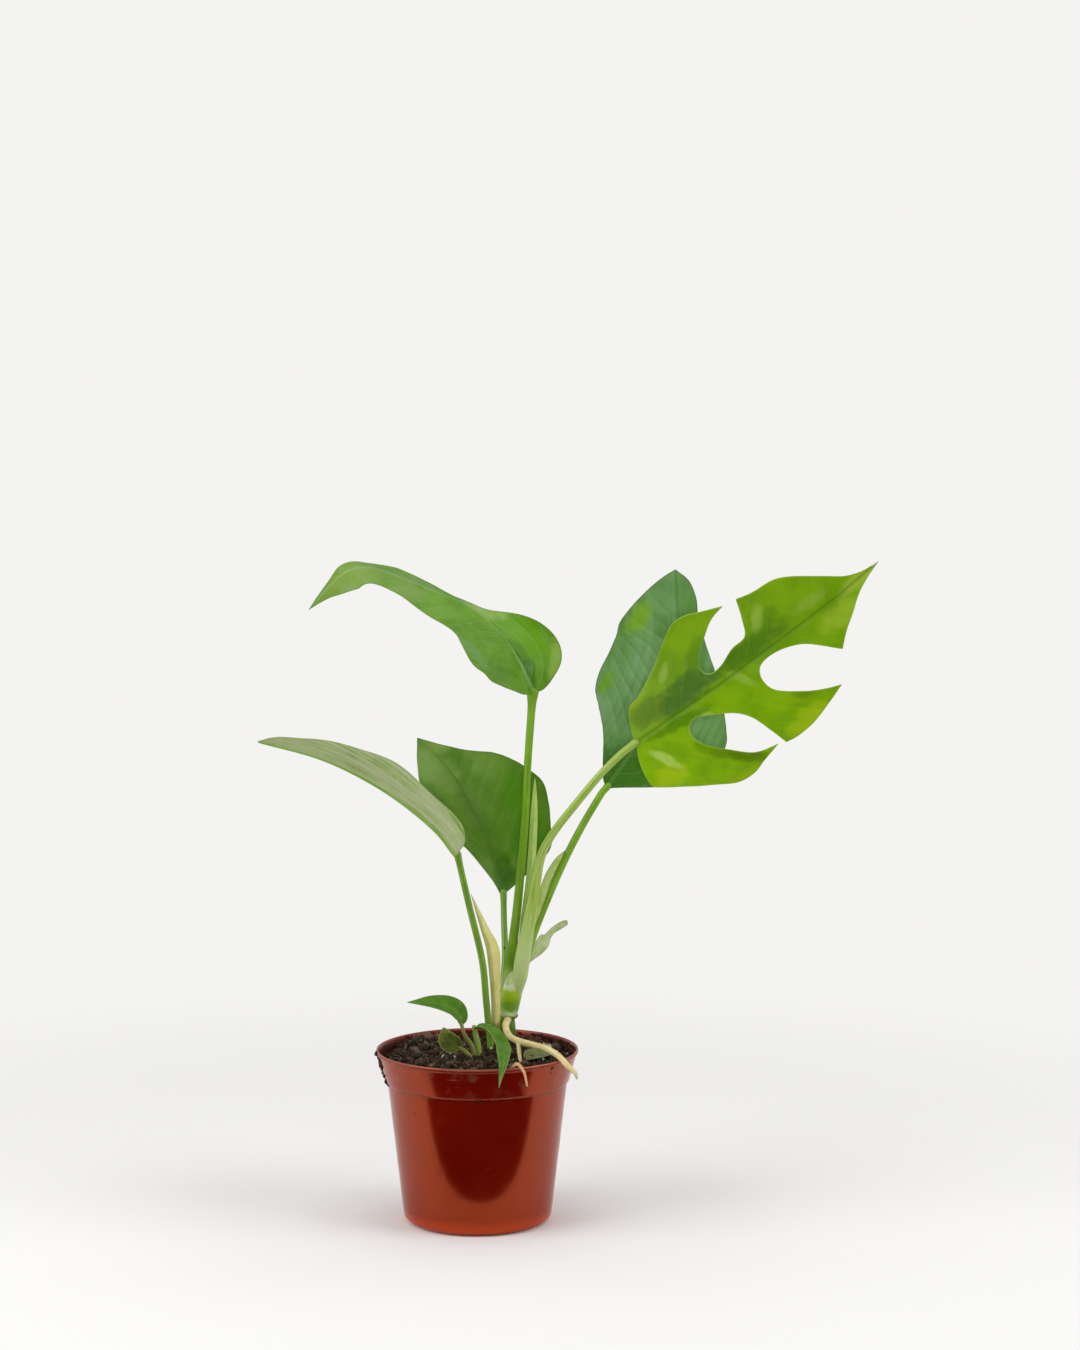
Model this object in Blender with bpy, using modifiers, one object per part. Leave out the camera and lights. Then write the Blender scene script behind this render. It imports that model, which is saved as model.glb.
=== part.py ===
"""A mini monstera in its nursery pot, with every piece as its own solid.

X is right, Y is away from the viewer, Z is up, and the pot stands on Z = 0.
All sizes below are in millimetres and are turned into metres where a mesh is made.
"""

import math

import bmesh
import bpy
import numpy as np
from mathutils import Vector, geometry, noise

MM = 0.001

# Pot
RIM_RADIUS = 60.2
RIM_HEIGHT = 103.0
LEDGE_HEIGHT = 84.6
POT_STEPS = 48
DRAIN_HOLES = 8
DRAIN_RADIUS = 3.6
DRAIN_CIRCLE = 24.0

# Soil
SOIL_EDGE_HEIGHT = 96.0
SOIL_DOME = 5.0
SOIL_ROUGHNESS = 1.3
FIT_GAP = 0.32
HOLE_GAP = 0.35

# Blades and stalks
BLADE_THICKNESS = 0.7
RIB_THICKNESS = 1.9
STALK_SIDES = 3
SWEEP_STEPS = 16

# Routes of the main stem and of the leaf stalks, from the soil up
STEM_ROUTE = [(18.6, 22, 80), (18.2, 22, 107), (17.0, 22, 116), (17.2, 22, 118.6), (17.5, 22, 120.4),
              (18.5, 22, 123), (20.2, 21.5, 131), (21.8, 21, 138), (22.3, 21, 141.6)]
STEM_RADII = [4.4, 4.6, 5.2, 6.7, 6.7, 6.0, 6.1, 5.7, 5.2]
STALK_TOP_LEFT = [(18.4, 21.6, 142.9), (20.6, 20.5, 160), (24.1, 18, 189.3), (28.3, 16, 237.9),
                  (30.1, 15, 274), (32.2, 15, 304), (32.8, 15, 312.6)]
STALK_LOW_LEFT = [(8.5, 6.5, 84), (7.6, 7, 104), (6.2, 7.5, 118), (5.0, 8, 130.5), (2.6, 8, 154.7),
                  (-4.4, 6, 185.2), (-9.0, 4, 206), (-11.4, 3.1, 217.2)]
STALK_SPLIT = [(25.5, 17, 143.0), (27.0, 15.5, 155), (33.1, 12, 190), (37.3, 10, 214.7), (44.4, 8, 230),
               (58.1, 6, 248.2), (72.9, 4, 266.4), (84.7, 3, 278.4), (92.2, 2.2, 284.6)]
STALK_RIGHT_BACK = [(26.9, 24.1, 143.0), (30.2, 25.6, 156), (35.5, 28, 172.4), (49.4, 34, 205),
                    (61.5, 37, 229), (73.6, 39, 249.5), (77.0, 40, 253.8)]
STALK_BACK = [(12.5, 31, 86), (12.6, 30.6, 112), (13.6, 31.4, 126), (16.0, 35.5, 149.6),
              (15.4, 42, 173), (15.1, 44.8, 187.6)]

# Roots, from the stem or the soil outwards
ROOT_ROUTE = [(17.9, 14.6, 121.0), (16.6, 7, 119.6), (17.0, 0, 115.1), (20.1, -8, 111.4),
              (25.5, -16, 110.4), (37.9, -27, 109.4), (43.7, -31.5, 107.9), (48.9, -36, 105.4),
              (53.5, -40, 101), (57.6, -43, 97.6), (58.7, -44, 94.6)]
ROOT_RADII = [2.2, 2.1, 2.0, 1.9, 1.9, 1.9, 1.9, 1.8, 1.7, 1.3, 0.7]
ROOT_FORK_ROUTE = [(24.0, -13.6, 110.6), (24.6, -17, 109.0), (25.0, -20.5, 105), (25.6, -22, 101),
                   (26.0, -23, 94)]
SIDE_ROOT_ROUTE = [(20.0, -44, 91), (20.6, -49.5, 99.5), (21.9, -54.6, 104.3), (24.8, -58.6, 106.0),
                   (28.2, -60.2, 101.4), (29.9, -60.4, 94.0)]

# Routes of the young shoots' stalks
SHOOT_LEFT_ROUTE = [(-1.3, -13.8, 88), (-1.7, -14, 101.8), (-2.9, -14, 107.2), (-7.2, -13.8, 113.8),
                    (-8.8, -13.2, 118.8)]
SHOOT_LOW_ROUTE = [(-3.6, -18.2, 88), (-3.8, -18.4, 100.4), (-6.2, -18.8, 104.4), (-8.6, -19.2, 106.6)]
SHOOT_FRONT_ROUTE = [(1.6, -11, 88), (1.0, -11.4, 103), (-0.4, -12.4, 112), (-1.4, -13.6, 117.0)]


def clear_scene():
    for item in list(bpy.data.objects):
        bpy.data.objects.remove(item, do_unlink=True)


def new_collection(name, cutters=False):
    group = bpy.data.collections.new(name)
    bpy.context.scene.collection.children.link(group)
    group.hide_render = cutters
    return group


def new_material(name, colour, roughness, coat=0.0):
    material = bpy.data.materials.new(name)
    material.use_nodes = True
    shader = material.node_tree.nodes["Principled BSDF"]
    shader.inputs["Base Color"].default_value = (*colour, 1.0)
    shader.inputs["Roughness"].default_value = roughness
    shader.inputs["Metallic"].default_value = 0.0
    shader.inputs["Coat Weight"].default_value = coat
    material.diffuse_color = (*colour, 1.0)
    return material


def place(name, mesh, group, material=None):
    item = bpy.data.objects.new(name, mesh)
    group.objects.link(item)
    if material:
        mesh.materials.clear()
        mesh.materials.append(material)
    if group.hide_render:
        item.hide_render = True
        item.display_type = "WIRE"
    return item


def baked(item):
    """The object's mesh with its modifiers or its curve bevel made real and its seams merged."""
    graph = bpy.context.evaluated_depsgraph_get()
    mesh = bpy.data.meshes.new_from_object(item.evaluated_get(graph), depsgraph=graph)
    work = bmesh.new()
    work.from_mesh(mesh)
    bmesh.ops.remove_doubles(work, verts=work.verts, dist=0.002 * MM)
    bmesh.ops.recalc_face_normals(work, faces=work.faces)
    work.to_mesh(mesh)
    work.free()
    return mesh


def join_into(item, extras):
    """Fuse the extra objects into the item, then remove them."""
    for extra in extras:
        union = item.modifiers.new("join", "BOOLEAN")
        union.operation = "UNION"
        union.solver = "EXACT"
        union.object = extra
        bpy.context.view_layer.update()
        item.data = baked(item)
        item.modifiers.clear()
        bpy.data.objects.remove(extra, do_unlink=True)
    return item


def smooth_route(points, per):
    """A smooth line through the points, with `per` steps between neighbours."""
    known = np.asarray(points, float)
    known = np.vstack([2 * known[0] - known[1], known, 2 * known[-1] - known[-2]])
    line = []
    for before, start, end, after in zip(known, known[1:], known[2:], known[3:]):
        for step in range(per):
            u = step / per
            bend = 2 * before - 5 * start + 4 * end - after
            twist = 3 * start - before - 3 * end + after
            line.append(0.5 * (2 * start + (end - before) * u + bend * u * u + twist * u ** 3))
    line.append(known[-2])
    return np.array(line)


def rod(name, route, radii, group, material=None, per=3, extra=0.0, sides=STALK_SIDES):
    """A round stalk along a route; `radii` holds one radius, or one for each point."""
    line = smooth_route(route, per)
    sizes = np.interp(np.linspace(0, 1, len(line)), np.linspace(0, 1, len(radii)), radii)
    curve = bpy.data.curves.new(name, "CURVE")
    curve.dimensions = "3D"
    curve.bevel_depth = MM
    curve.bevel_resolution = sides
    curve.use_fill_caps = True
    spline = curve.splines.new("POLY")
    spline.points.add(len(line) - 1)
    for point, place_mm, size in zip(spline.points, line, sizes):
        point.co = (*(place_mm * MM), 1.0)
        point.radius = size + extra
    guide = bpy.data.objects.new(name + "_guide", curve)
    group.objects.link(guide)
    bpy.context.view_layer.update()
    mesh = baked(guide)
    mesh.name = name
    bpy.data.objects.remove(guide, do_unlink=True)
    return place(name, mesh, group, material)


def planted(name, route, radii, group, cutters, material, per=3, sides=STALK_SIDES):
    """A stalk that stands in the soil, with the cutter that makes room for it."""
    start, after = Vector(route[0]), Vector(route[1])
    deeper = [tuple(start + (start - after).normalized())] + route[1:]
    rod("hole_" + name, deeper, radii, cutters, per=per, extra=HOLE_GAP, sides=sides)
    return rod(name, route, radii, group, material, per=per, sides=sides)


class Blade:
    """The surface of a leaf: a bent rib line with two halves that fold and curl beside it.

    A place on it is (along, across) in millimetres, with across below zero on the left half as
    seen from the upper face with the tip up. The upper face looks at the viewer, turned by roll
    degrees about the rib. Fold is each half's angle towards the upper face where it leaves the
    rib, and curl is how much further it has turned at the distance `half`.
    """

    def __init__(self, rib, roll=(0,), fold_left=(0,), fold_right=(0,), curl_left=(0,),
                 curl_right=(0,), half=40.0, facing=(0, -1, 0)):
        line = smooth_route(rib, 24)
        steps = np.linalg.norm(np.diff(line, axis=0), axis=1)
        reach = np.concatenate([[0.0], np.cumsum(steps)])
        self.length = reach[-1]
        even = np.linspace(0, self.length, 401)
        self.line = np.stack([np.interp(even, reach, line[:, k]) for k in range(3)], axis=1)
        tangent = np.gradient(self.line, axis=0)
        self.tangent = tangent / np.linalg.norm(tangent, axis=1)[:, None]
        out = np.asarray(facing, float)
        normal = out - (self.tangent @ out)[:, None] * self.tangent
        self.normal = normal / np.linalg.norm(normal, axis=1)[:, None]
        self.across = np.cross(self.tangent, self.normal)
        self.half = half
        self.roll = self.along_rib(roll)
        self.fold = (self.along_rib(fold_left), self.along_rib(fold_right))
        self.curl = (self.along_rib(curl_left), self.along_rib(curl_right))

    def along_rib(self, degrees):
        """One angle for each of the rib's 401 places, in radians, smooth through the given ones."""
        if len(degrees) == 1:
            return np.full(401, math.radians(degrees[0]))
        smooth = smooth_route(np.asarray(degrees, float)[:, None], 16)[:, 0]
        shares = np.linspace(0, 1, len(smooth))
        return np.radians(np.interp(np.linspace(0, 1, 401), shares, smooth))

    def at(self, along, across):
        share = min(max(along / self.length, 0.0), 1.0) * 400
        low = min(int(share), 399)
        part = share - low

        def read(values):
            return values[low] * (1 - part) + values[low + 1] * part

        beyond = along - min(max(along, 0.0), self.length)
        tangent = read(self.tangent)
        start = read(self.line) + tangent * beyond
        turn = read(self.roll)
        up = read(self.normal) * math.cos(turn) + read(self.across) * math.sin(turn)
        side = read(self.across) * math.cos(turn) - read(self.normal) * math.sin(turn)
        which = 0 if across < 0 else 1
        fold = read(self.fold[which])
        curl = read(self.curl[which])
        step = abs(across) / SWEEP_STEPS
        outward = 0.0
        lift = 0.0
        for k in range(SWEEP_STEPS):
            angle = fold + curl * ((k + 0.5) * step / self.half) ** 2
            outward += math.cos(angle) * step
            lift += math.sin(angle) * step
        return start + side * math.copysign(outward, across) + up * lift


def closed_outline(runs, per):
    """The blade's flat outline from smooth runs that meet at corners, without its last repeat."""
    points = []
    for run in runs:
        points.extend(smooth_route(run, per)[:-1])
    return [Vector(point) for point in points]


def inside(point, outline):
    hit = False
    for a, b in zip(outline, outline[1:] + outline[:1]):
        if (a.y > point.y) != (b.y > point.y):
            if point.x < a.x + (point.y - a.y) / (b.y - a.y) * (b.x - a.x):
                hit = not hit
    return hit


def near_outline(point, outline, distance):
    for a, b in zip(outline, outline[1:] + outline[:1]):
        foot, share = geometry.intersect_point_line(point, a, b)
        share = min(max(share, 0.0), 1.0)
        if (a.lerp(b, share) - point).length < distance:
            return True
    return False


def leaf(name, blade, runs, group, material, spacing=9.0, per=2, thickness=BLADE_THICKNESS,
         rib=RIB_THICKNESS, rib_reach=1.6):
    """A closed blade: its flat outline is filled with triangles, bent and given a thickness."""
    outline = closed_outline(runs, per)
    rows = int(blade.length / spacing)
    points = list(outline)
    rib_rows = []
    for row in range(-3, rows + 1):
        along = (row + 0.5) * blade.length / rows
        widths = [0.0, rib_reach, -rib_reach]
        widths += [side * spacing * k for k in range(1, 9) for side in (1, -1)]
        for across in widths:
            point = Vector((along, across))
            room = 0.45 * spacing if abs(across) > rib_reach else 0.8
            if inside(point, outline) and not near_outline(point, outline, room):
                if across == 0.0:
                    rib_rows.append(len(points))
                points.append(point)
    edges = list(zip(rib_rows, rib_rows[1:]))
    ring = list(range(len(outline)))
    flat, _, faces, *_ = geometry.delaunay_2d_cdt(points, edges, [ring], 1, 1e-4)
    mesh = bpy.data.meshes.new(name)
    bent = [Vector(blade.at(point.x, point.y)) * MM for point in flat]
    mesh.from_pydata(bent, [], [tuple(face) for face in faces])
    work = bmesh.new()
    work.from_mesh(mesh)
    if work.faces:
        upward = sum((face.normal * face.calc_area() for face in work.faces), Vector())
        middle = len(blade.roll) // 2
        turn = blade.roll[middle]
        up = blade.normal[middle] * math.cos(turn) + blade.across[middle] * math.sin(turn)
        if upward.dot(Vector(up)) < 0:
            bmesh.ops.reverse_faces(work, faces=work.faces)
    work.to_mesh(mesh)
    work.free()
    item = place(name, mesh, group, material)
    thick = item.vertex_groups.new(name="rib")
    for index, point in enumerate(flat):
        if abs(point.y) < rib_reach * 0.5 and point.x < blade.length * 0.97:
            thick.add([index], 1.0 - 0.55 * max(point.x, 0.0) / blade.length, "REPLACE")
    solid = item.modifiers.new("thickness", "SOLIDIFY")
    solid.thickness = rib * MM
    solid.offset = -1.0
    solid.vertex_group = thick.name
    solid.thickness_vertex_group = thickness / rib
    solid.use_even_offset = False
    bpy.context.view_layer.update()
    item.data = baked(item)
    item.modifiers.clear()
    return item


def lathe(name, profile, group, material=None, steps=POT_STEPS):
    """Turn a profile of (radius, height) about the pot's axis, from its inside floor round to its foot."""
    mesh = bpy.data.meshes.new(name)
    points = [(radius * MM, 0.0, height * MM) for radius, height in profile]
    mesh.from_pydata(points, [(k, k + 1) for k in range(len(points) - 1)], [])
    item = place(name, mesh, group, material)
    screw = item.modifiers.new("turn", "SCREW")
    screw.steps = steps
    screw.render_steps = steps
    screw.use_merge_vertices = True
    screw.merge_threshold = 0.00005
    screw.use_normal_calculate = True
    bpy.context.view_layer.update()
    item.data = baked(item)
    item.modifiers.clear()
    if material:
        item.data.materials.clear()
        item.data.materials.append(material)
    return item


def wall_radius(height):
    """Inside radius of the pot at a height."""
    heights = [3.5, 5.0, 8.0, LEDGE_HEIGHT - 0.6, LEDGE_HEIGHT + 0.4, 100.8, RIM_HEIGHT]
    radii = [40.6, 42.6, 43.3, 52.2, 53.3, 58.0, 58.6]
    return float(np.interp(height, heights, radii))


def pot(group, cutters, material):
    outer = [(RIM_RADIUS - 0.3, RIM_HEIGHT), (RIM_RADIUS, RIM_HEIGHT - 0.4), (RIM_RADIUS, 101.0),
             (59.3, 100.5), (54.7, LEDGE_HEIGHT), (53.5, LEDGE_HEIGHT - 0.6), (44.7, 8.0),
             (43.7, 3.2), (41.8, 0.9), (39.0, 0.0), (35.2, 0.0), (33.4, 2.0), (14.2, 2.0),
             (12.4, 0.0), (0.0, 0.0)]
    inner = [(0.0, 3.5), (40.6, 3.5), (42.6, 5.0), (43.3, 8.0), (52.2, LEDGE_HEIGHT - 0.6),
             (53.3, LEDGE_HEIGHT + 0.4), (58.0, 100.8), (58.6, 101.6), (58.7, RIM_HEIGHT)]
    item = lathe("pot", inner + outer, group, material)
    for number in range(DRAIN_HOLES):
        angle = 2 * math.pi * number / DRAIN_HOLES
        mesh = bpy.data.meshes.new(f"drain_cutter_{number}")
        work = bmesh.new()
        bmesh.ops.create_cone(work, cap_ends=True, segments=14, radius1=DRAIN_RADIUS * MM,
                              radius2=DRAIN_RADIUS * MM, depth=8 * MM)
        work.to_mesh(mesh)
        work.free()
        cutter = place(mesh.name, mesh, cutters)
        cutter.location = (DRAIN_CIRCLE * MM * math.cos(angle), DRAIN_CIRCLE * MM * math.sin(angle), 0.0025)
    drill(item, [c for c in cutters.objects if c.name.startswith("drain_cutter")])
    return item


def drill(item, tools):
    """Cut every tool from the item."""
    for tool in tools:
        cut = item.modifiers.new("hole", "BOOLEAN")
        cut.operation = "DIFFERENCE"
        cut.solver = "EXACT"
        cut.object = tool
    bpy.context.view_layer.update()
    item.data = baked(item)
    item.modifiers.clear()


def soil_height(x, y):
    """Height of the soil's surface: a low dome, heaped round the stem and sunk at the back left."""
    out = min(math.hypot(x, y) / 57.0, 1.0)
    height = SOIL_EDGE_HEIGHT + SOIL_DOME * (1 - out * out)
    height += 3.2 * math.exp(-((x - 18) ** 2 + (y - 20) ** 2) / 300)
    height += 1.6 * math.exp(-((x - 42) ** 2 + (y - 22) ** 2) / 200)
    height -= 3.0 * math.exp(-((x + 26) ** 2 + (y - 40) ** 2) / 500)
    grain = noise.fractal(Vector((x, y, 7.0)) / 9.0, 0.8, 2.0, 3)
    return height + SOIL_ROUGHNESS * grain * (1.0 if out < 0.97 else 0.4)


def soil(group, material):
    rings = [0, 5, 10, 15, 20, 25, 30, 35, 40, 45, 49, 53]
    top = [(radius, 99.0) for radius in rings] + [(wall_radius(96) - FIT_GAP, 98.0)]
    side = [(wall_radius(z) - FIT_GAP, z) for z in (LEDGE_HEIGHT + 0.4, LEDGE_HEIGHT - 0.6, 8.0, 5.0)]
    item = lathe("soil", top + side + [(40.0, 3.85), (0.0, 3.85)], group, material)
    for vertex in item.data.vertices:
        x, y, z = vertex.co / MM
        if z < 97.5:
            continue
        height = soil_height(x, y)
        if z < 98.5:
            radius = (wall_radius(height) - FIT_GAP) / math.hypot(x, y)
            x, y = x * radius, y * radius
        vertex.co = Vector((x, y, height)) * MM
    work = bmesh.new()
    work.from_mesh(item.data)
    bmesh.ops.triangulate(work, faces=work.faces)
    work.to_mesh(item.data)
    work.free()
    return item


def main():
    clear_scene()
    plant = new_collection("mini_monstera")
    cutters = new_collection("cutters", cutters=True)

    plastic = new_material("pot_plastic", (0.33, 0.055, 0.025), 0.22, 0.4)
    peat = new_material("peat", (0.03, 0.019, 0.013), 0.95)
    stem_green = new_material("stem_green", (0.22, 0.36, 0.06), 0.45)
    stalk_green = new_material("stalk_green", (0.13, 0.27, 0.03), 0.4)
    sheath_cream = new_material("sheath_cream", (0.58, 0.55, 0.28), 0.6)
    sheath_green = new_material("sheath_green", (0.42, 0.52, 0.2), 0.55)
    leaf_young = new_material("leaf_young", (0.16, 0.33, 0.015), 0.3, 0.3)
    leaf_mature = new_material("leaf_mature", (0.06, 0.19, 0.025), 0.35, 0.25)
    leaf_blue = new_material("leaf_blue", (0.07, 0.2, 0.07), 0.38, 0.2)
    root_beige = new_material("root_beige", (0.6, 0.42, 0.22), 0.65)
    bract_dry = new_material("bract_dry", (0.5, 0.52, 0.32), 0.7)
    leaf_olive = new_material("leaf_olive", (0.3, 0.33, 0.06), 0.55)

    pot(plant, cutters, plastic)
    ground = soil(plant, peat)

    # Stem and leaf stalks
    planted("stem", STEM_ROUTE, STEM_RADII, plant, cutters, stem_green, per=2, sides=5)
    rod("petiole_top_left", STALK_TOP_LEFT, [2.7, 2.7, 2.5, 2.2, 2.1, 2.3, 2.2], plant, stalk_green)
    planted("petiole_low_left", STALK_LOW_LEFT, [2.1, 2.1, 1.9], plant, cutters, stalk_green)
    rod("petiole_split", STALK_SPLIT, [4.0, 3.5, 2.6, 2.5, 2.4, 2.3, 2.2, 2.2, 2.1], plant,
        stalk_green, per=2)
    rod("petiole_right_back", STALK_RIGHT_BACK, [2.3, 2.3, 2.2, 2.0], plant, stalk_green)
    planted("petiole_back", STALK_BACK, [2.0, 1.9, 1.8], plant, cutters, stalk_green)

    # The five leaf blades
    leaf("leaf_split",
         Blade([(94, 2, 286), (138, -18, 319), (173, -32, 347), (204, -42, 372), (232, -44, 396)],
               fold_left=(30, 35, 35, 30, 20), fold_right=(8, 10, 12, 15, 15),
               curl_left=(-10, -10, -5, 0, 0), curl_right=(-15, -15, -15, -10, 0), half=60),
         [[(0, -1.5), (4, -9), (14, -23), (26, -28), (47, -40), (70, -55), (82, -57), (92, -52), (102, -45)],
          [(102, -45), (92, -43), (81, -36), (70, -27), (64, -17), (66, -11), (74, -11), (86, -16),
           (97, -18), (104, -30), (110, -43)],
          [(110, -43), (119, -40), (132, -37), (142, -29), (152, -18), (162, -7), (173, -1.5), (183, 0)],
          [(183, 0), (172, 3), (162, 7), (153, 13), (144, 19), (136, 26)],
          [(136, 26), (122, 12), (110, 6), (98, 4), (90, 6), (87, 13), (90, 22), (103, 32), (114, 38),
           (124, 42)],
          [(124, 42), (112, 46), (97, 50), (84, 51), (76, 50)],
          [(76, 50), (73, 38), (69, 27), (62, 19), (50, 12), (40, 8), (34, 10), (32, 16), (36, 24),
           (46, 34), (58, 44), (72, 48)],
          [(72, 48), (60, 51), (50, 54), (38, 53), (25, 46), (10, 38), (-2, 31), (-7, 26), (-6, 14),
           (-3, 6), (0, 1.5)],
          [(0, 1.5), (0, -1.5)]],
         plant, leaf_young)
    leaf("leaf_right_back",
         Blade([(78, 40, 255), (104, 51, 293), (120, 59, 337), (120, 62, 385)],
               fold_left=(25, 25, 20, 15), fold_right=(12, 12, 10, 10),
               curl_left=(-15, -15, -10, 0), curl_right=(-15, -15, -10, 0), half=45),
         [[(0, -1.5), (3, -6), (12, -14), (24, -24), (36, -35), (48, -42), (62, -44), (80, -42),
           (100, -39), (112, -37), (122, -30), (131, -20), (139, -9), (144, 0)],
          [(144, 0), (137, 8), (126, 12), (113, 13), (100, 18), (88, 26), (75, 35), (62, 44), (54, 48),
           (42, 47), (31, 39), (20, 28), (11, 16.5), (4, 7), (0, 1.5)],
          [(0, 1.5), (0, -1.5)]],
         plant, leaf_blue, per=1)
    leaf("leaf_back",
         Blade([(15, 45, 189), (2, 58, 227), (-17, 71, 260), (-39, 80, 281)],
               fold_left=(25, 50, 55, 50, 30), fold_right=(5, 5, 10, 10), curl_right=(-15, -15, 0, 0),
               half=45),
         [[(0, -1.5), (10, -5), (21, -12), (30, -19), (40, -28), (52, -34), (66, -35), (80, -30),
           (92, -22), (103, -12), (110, -4), (114, 0)],
          [(114, 0), (108, 3), (98, 8), (87, 16), (77, 29), (68, 37), (60, 42), (51, 46), (41, 44),
           (30, 40), (20, 37), (14, 31), (8, 20), (2, 7), (0, 1.5)],
          [(0, 1.5), (0, -1.5)]],
         plant, leaf_mature, per=1)
    leaf("leaf_top_left",
         Blade([(34, 15, 314), (21, 5, 342), (8, -2, 358), (-8, -9, 370), (-27, -15, 378),
                (-46, -20, 386), (-62, -25, 391), (-74, -28, 389), (-85, -31, 380), (-97, -34, 366)],
               roll=(35, 38, 42, 45, 45, 45, 35, 15, 0),
               fold_left=(14, 16, 18, 14, 16, 18, 24, 12, 0),
               fold_right=(36, -26, -74, -78, -52, -41, -46, -5, 0),
               curl_right=(60, 110, 110, 110, 60, 30, 0, 0, 0), half=38),
         [[(0, -1.5), (5, -9), (11, -15), (21, -25), (34, -36), (48, -43), (60, -44.5), (71, -40),
           (79, -34.5), (88, -30), (97, -27), (107, -24), (117, -19), (127, -16), (138, -16),
           (149, -16), (158, -11), (166, -6), (174, -2.4), (181, 0)],
          [(181, 0), (174, 0.8), (166, 1.6), (158, 3.2), (150, 7), (140, 11.5), (126, 17), (110, 22),
           (95, 27), (78, 32), (60, 36), (45, 37), (32, 36.5), (20, 32), (10, 24), (3, 13), (0, 6),
           (0, 1.5)],
          [(0, 1.5), (0, -1.5)]],
         plant, leaf_mature, spacing=6.5, per=1)
    leaf("leaf_low_left",
         Blade([(-12, 3, 219), (-26, -4, 237), (-54, -14, 260), (-88, -26, 279), (-126, -38, 291)],
               roll=(80, 85, 90, 90, 90), fold_left=(35, 42, 47, 52, 52),
               fold_right=(10, 14, 18, 15, 10), curl_left=(-5, 0, 0), curl_right=(-5, 0, 0), half=35),
         [[(0, -1.5), (3, -6), (9, -18), (14, -25), (20, -29.5), (27, -29), (36, -27), (46, -26.5),
           (58, -27), (70, -26), (82, -23.5), (94, -19.5), (106, -15.5), (118, -12.5), (130, -9),
           (138, -5), (144, 0)],
          [(144, 0), (138, 3.5), (126, 9), (108, 16), (88, 22), (70, 27), (54, 31.5), (42, 34),
           (31, 36), (21, 34.5), (11, 31), (4, 25), (0, 17), (-1, 8), (0, 1.5)],
          [(0, 1.5), (0, -1.5)]],
         plant, leaf_mature, per=1)

    # Sheaths that stand off the stalks
    leaf("sheath_top_left",
         Blade([(24.4, 19.8, 158), (27.2, 19.7, 175), (31.6, 19.4, 205), (33.6, 19.2, 235), (34.3, 19, 263)],
               fold_left=(-20,), fold_right=(-25,), half=6),
         [[(0, -0.6), (20, -2.0), (48, -2.6), (80, -2.4), (98, -1.2), (106, 0)],
          [(106, 0), (98, 1.2), (80, 2.4), (48, 2.6), (20, 2.0), (0, 0.6)],
          [(0, 0.6), (0, -0.6)]],
         plant, sheath_green, spacing=8, per=2, thickness=0.6, rib=0.9, rib_reach=1.0)
    leaf("sheath_low_left",
         Blade([(10.4, 9.4, 104.2), (10.6, 9.4, 130), (8.6, 9.5, 158), (3.8, 9, 173), (-4.0, 7.5, 195)],
               fold_left=(-20,), fold_right=(-30,), half=6),
         [[(0, -2.6), (24, -2.8), (50, -3.3), (68, -2.3), (82, -1.2), (93.5, 0)],
          [(93.5, 0), (82, 1.2), (68, 2.6), (50, 3.6), (24, 3.2), (0, 2.8)],
          [(0, 2.8), (0, -2.6)]],
         plant, sheath_cream, spacing=8, per=2, thickness=0.6, rib=0.9, rib_reach=1.0)
    leaf("sheath_right_back",
         Blade([(30.6, 24.0, 165), (36.4, 26.2, 182), (41.8, 29.0, 199), (47.0, 31.2, 209),
                (52.3, 32.4, 217)],
               fold_left=(-15,), fold_right=(-25,), half=6),
         [[(0, -0.8), (16, -2.0), (36, -2.9), (50, -2.2), (58, 0)],
          [(58, 0), (50, 1.6), (36, 2.4), (16, 1.8), (0, 0.8)],
          [(0, 0.8), (0, -0.8)]],
         plant, sheath_green, spacing=8, per=2, thickness=0.6, rib=0.9, rib_reach=1.0)
    leaf("dry_bract",
         Blade([(30.2, 29.0, 149), (36.5, 34.5, 157), (43.6, 39.5, 166.6), (50.7, 40.5, 171.6),
                (57.7, 40.5, 172.8)],
               roll=(10,), fold_left=(20, 25, 40, 60, 40), fold_right=(-10,), half=8),
         [[(0, -0.6), (10, -2.2), (20, -4.0), (27, -3.6), (34, -1.6), (37, 0)],
          [(37, 0), (33, 1.8), (26, 3.6), (16, 4.2), (8, 2.0), (0, 0.6)],
          [(0, 0.8), (0, -0.8)]],
         plant, bract_dry, spacing=6, per=2, thickness=0.6, rib=0.8, rib_reach=1.0)

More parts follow.
